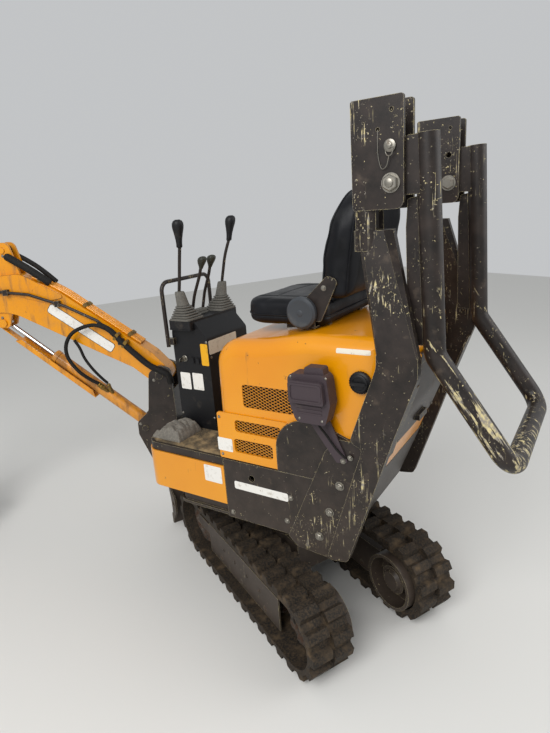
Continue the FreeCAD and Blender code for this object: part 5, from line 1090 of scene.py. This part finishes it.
lids = bmesh.new()
reel = facing(HOUSE, -232, 261.3, 1322, LEFT)
add_turned(lids, reel, [(49, -1), (50, 1.2), (46, 2.6), (43, 1.2), (12, 1.0), (11, 2.2), (2, 2.4)], 48)
make_piece("reel_lid", lids, reel_plastic, "house", 50)

metal = bmesh.new()
key = facing(HOUSE, 440, CONSOLE_FACE, 1068, LEFT)
add_turned(metal, key, [(15, -1), (15, 3), (13, 5), (9, 5), (9, 9), (7, 9.5)], 28)
add_plate(metal, key @ Matrix.Rotation(0.5, 4, "Z"), rounded(3, 18, 1), 8, 22)
add_turned(metal, facing(HOUSE, 440, 172, 1068, (1, 0, 0.3)), [(11, -1.2), (11, 1.2), (9, 1.6)], 20)
screw_face = CONSOLE_FACE + 0.2
screws = [(x, screw_face, z, LEFT) for x, z in ((492, 1150), (492, 800), (308, 800), (308, 1150))]
screws += [(300, y, z, BACK) for z in (1080, 800) for y in (130, -130)]
screws += [(x, -screw_face, z, RIGHT) for x, z in ((308, 1150), (492, 800))]
for x, y, z, out in screws:
    add_turned(metal, facing(HOUSE, x, y, z, out), [(6, -0.5), (6, 1.2), (4.5, 2.4), (1.2, 2.8)], 16)
# and four in the lamp's front
for x, z in ((-405, 1150), (-275, 1145), (-300, 1000), (-385, 1000)):
    add_turned(metal, facing(HOUSE, x, 422.2, z, LEFT), [(4.5, -0.5), (4.5, 1), (3, 2), (1, 2.2)], 14)
make_piece("key_and_screws", metal, zinc, "house")

# %% [markdown]
# ## The lamp's rim and cable
# The lamp's box is moulded with a frame round its shield, and its cable runs down the bracket and
# under the side cover.

# %% Lamp
lamp_trim, cable = bmesh.new(), bmesh.new()
shield = facing(HOUSE, -338, 444, 1100, LEFT)
frame_line = rounded(118, 62, 12, 6)
inner = rounded(106, 50, 8, 6)
rings = [[lamp_trim.verts.new(spot(shield, x, y, z)) for x, y in line]
         for line, z in ((frame_line, -1.5), (frame_line, 2), (inner, 3), (inner, -1.5))]
for low, high in zip(rings, rings[1:] + rings[:1]):
    skin_band(lamp_trim, low, high)
for z in (1022, 1034, 1046):
    add_plate(lamp_trim, facing(HOUSE, -338, 422, z, LEFT), rounded(96, 5, 2.2), -1, 2.2)
make_piece("lamp_trim", lamp_trim, lamp_plastic, "house", 40)
wire = [(-352, 400, 990), (-362, 392, 962), (-372, 380, 938), (-392, 374, 905), (-412, 373, 880), (-430, 370, 862),
        (-440, 364, 852)]
add_tube(cable, along(HOUSE, wire), 4, 10)
make_piece("lamp_cable", cable, hose_rubber, "house", 60)

# %% [markdown]
# ## A crumpled rubber cover on the floor
# The pedals hide under a loose rubber cover, creased and dusty. A block that is finely divided is
# pushed in and out by noise that is stretched into folds, with its foot held flat on the mat.

# %% Foot cover
CREASED = 34                 # the block is divided so often each way
COVER_FOOT = 0.7412          # just under the mat's top, in metres
folded = bmesh.new()
top_rows = []
for i in range(CREASED + 1):
    row = []
    for j in range(CREASED + 1):
        u, v = i / CREASED, j / CREASED
        x, y = 370 + 160 * u, 165 + 155 * v
        edge = min(u, 1 - u, v, 1 - v)
        # the solid's hump: highest a third of the way from the front
        hump = 30 + 28 * math.exp(-((u - 0.42) / 0.34) ** 2)
        fold = noise.noise(Vector((x * 0.045, y * 0.016, 3.1))) + 0.5 * noise.noise(Vector((x * 0.03, y * 0.09, 7.7)))
        crease = abs(noise.noise(Vector((x * 0.02 + y * 0.03, y * 0.02, 1.3))))
        height = (hump + 9 * fold - 14 * (0.25 - min(crease, 0.25)) * 2) * min(1.0, edge * 9) ** 0.6
        row.append(folded.verts.new(spot(HOUSE, x, y, MAT_TOP + max(1.0, min(height, 56)))))
    top_rows.append(row)
bottom_rows = [[folded.verts.new(Vector((v.co.x, v.co.y, COVER_FOOT))) for v in row] for row in top_rows]
for rows, flip in ((top_rows, False), (bottom_rows, True)):
    for a, b in zip(rows, rows[1:]):
        for j in range(CREASED):
            face = (a[j], b[j], b[j + 1], a[j + 1])
            folded.faces.new(face[::-1] if flip else face)


def rim(rows):
    """The points round the edge of a grid of rows."""
    return [r[0] for r in rows] + rows[-1][1:] + [r[-1] for r in rows[-2::-1]] + rows[0][-2:0:-1]


skin_band(folded, rim(top_rows), rim(bottom_rows))
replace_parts(make_piece("crumpled_foot_cover", folded, cover_rubber, "house", 80), "foot_cover")

# %% [markdown]
# ## Ribs of the floor mat
# The mat is ribbed so that wet boots don't slip. A row of long low slats at one pitch is a
# repeat, so a small tree makes each patch of them from its length, width and pitch.

# %% Mat ribs
SIZES = ("length", "across", "pitch", "rib width", "rib height")
ribbing, given = tree_with("mat ribs", [(FLOAT, name) for name in SIZES] + [(FINISH_INPUT, "finish")])
size_of_rib = add(ribbing, "ShaderNodeCombineXYZ", {0: given["length"], 1: given["rib width"], 2: given["rib height"]})
rib = add(ribbing, "GeometryNodeMeshCube", {"Size": size_of_rib.outputs[0], "Vertices X": 12, "Vertices Y": 3,
                                            "Vertices Z": 2})
start, end = (add(ribbing, "ShaderNodeCombineXYZ", {1: times(given["across"], half)}).outputs[0]
              for half in (-0.5, 0.5))
row = add(ribbing, "GeometryNodeMeshLine", {
    "Count": whole_pitches(given["across"], given["pitch"]), "Start Location": start, "Offset": end},
    mode="END_POINTS", count_mode="TOTAL")
ribs = add(ribbing, "GeometryNodeInstanceOnPoints", {"Points": row.outputs[0], "Instance": rib.outputs[0]})
close_tree(ribbing, ribs.outputs[0], given["finish"])

mat = bmesh.new()
for x, y, long, wide in ((335, 240, 62, 170), (430, 330, 200, 16), (335, -240, 62, 170), (425, -240, 230, 150)):
    patch = grown("mat_patch", bpy.data.meshes.new("mat_patch"), ribbing, {
        "length": long * MM, "across": wide * MM, "pitch": 11 * MM, "rib width": 4 * MM, "rib height": 2.4 * MM,
        "finish": mat_rubber})
    patch.data.transform(HOUSE @ Matrix.Translation((x * MM, y * MM, (MAT_TOP + 0.2) * MM)))
    mat.from_mesh(patch.data)
    bpy.data.objects.remove(patch)
make_piece("mat_ribs", mat, mat_rubber, "house")

# %% [markdown]
# ## Bolts that are dropped on the surface
# On sloped or curved steel a bolt's place is easiest to find by looking from outside: a ray from
# the fitter's side hits the surface, and the hit gives both the place and the bolt's direction.

# %% Dropped bolts
def dropped(node, place, start, way, size):
    """A bolt's row where a ray from start meets a node. way is the ray's direction in place."""
    origin = spot(place, *start)
    hit, normal, _, _ = skin_of(nodes[node]).ray_cast(origin, (place.to_3x3() @ Vector(way)).normalized())
    if hit is None:
        print("no surface for a bolt on", node, start)
        return []
    local = place.inverted() @ hit / MM
    return [(place, *local, place.to_3x3().inverted() @ normal, size)]


def dropped_pairs(node, places):
    """Keeper bolts looked for from both sides of the boom's plane, at x and z of its frame."""
    return [row for x, z in places for side in (1, -1)
            for row in dropped(node, BOOM, (x, side * 200, z), (0, -side, 0), 6)]


gear = []
for side, name in ((1, "track_frame_left"), (-1, "track_frame_right")):
    for k in range(6):
        angle = math.tau * k / 6
        gear += dropped("sprockets", GROUND, (-460 + 36 * math.cos(angle), side * 400, 165 + 36 * math.sin(angle)),
                        (0, -side, 0), 6)
    for x in (-210, 0, 210):
        gear += dropped("track_rollers", GROUND, (x, side * 400, 100), (0, -side, 0), 8)
    for x in (-170, -60, 60, 170):
        gear += dropped(name, GROUND, (x, side * 400, 150), (0, -side, 0), 7)
bolts("running_gear_bolts", "undercarriage", cast_steel, gear)
edge = []
for y in (-300, -180, -60, 60, 180, 300):
    edge += dropped("blade", GROUND, (900, y, 40), (-1, 0, 0), 9)
bolts("blade_edge_bolts", "blade", edge_steel, edge)
for name, node, places in (("post_keeper_bolts", "swing_post", ((100, 923), (200, 696))),
                           ("boom_keeper_bolts", "boom", ((832, 1262), (767, 1556), (1300, 1300)))):
    bolts(name, node, zinc, dropped_pairs(node, places))
door = []
for y, z in ((-200, 1128), (200, 1128), (-200, 872), (200, 872)):
    door += dropped("rear_door", HOUSE, (-900, y, z), (1, 0, 0), 6)
bolts("door_bolts", "rear_door", zinc, door)
bpy.data.objects.remove(bolt_pattern)
print("dropped bolts:", len(gear) + len(edge) + len(door))

# %% [markdown]
# ## Floor and light
# A pale sweep, a large soft key light above the camera's left shoulder and a dim sky give plain
# studio light, at which a colour looks about as its code says.

# %% Stage
FLOOR_REACH = 9.0            # metres each way
floor_mesh = bpy.data.meshes.new("studio_floor")
corners = [(x * FLOOR_REACH, y * FLOOR_REACH, 0) for x, y in ((-1, -1), (1, -1), (1, 1), (-1, 1))]
floor_mesh.from_pydata(corners, [], [(0, 1, 2, 3)])
studio_floor = bpy.data.objects.new("studio_floor", floor_mesh)
scene.collection.objects.link(studio_floor)
floor_mesh.materials.append(new_material("studio_paper", Roughness=0.9, Base_Color=colour("#D9D8D4"))[0])

# %% Light
world = bpy.data.worlds.new("studio")
scene.world = world
world.use_nodes = True
sky = world.node_tree.nodes["Background"].inputs
sky["Color"].default_value = colour("#E4E6E8")
sky["Strength"].default_value = 0.7


def area_light(name, where, target, size, power):
    """A square light whose side is size in metres, turned to a target."""
    light = bpy.data.lights.new(name, "AREA")
    light.size = size
    light.energy = power
    lamp = bpy.data.objects.new(name, light)
    direction = Vector(target) - Vector(where)
    lamp.matrix_world = Matrix.Translation(where) @ direction.to_track_quat("-Z", "Y").to_matrix().to_4x4()
    scene.collection.objects.link(lamp)


area_light("key", (-3.2, 3.6, 4.2), (-0.8, 0.3, 0.8), 3.0, 210)
area_light("fill", (-3.5, -3.0, 3.0), (-0.8, 0.2, 0.8), 3.5, 70)
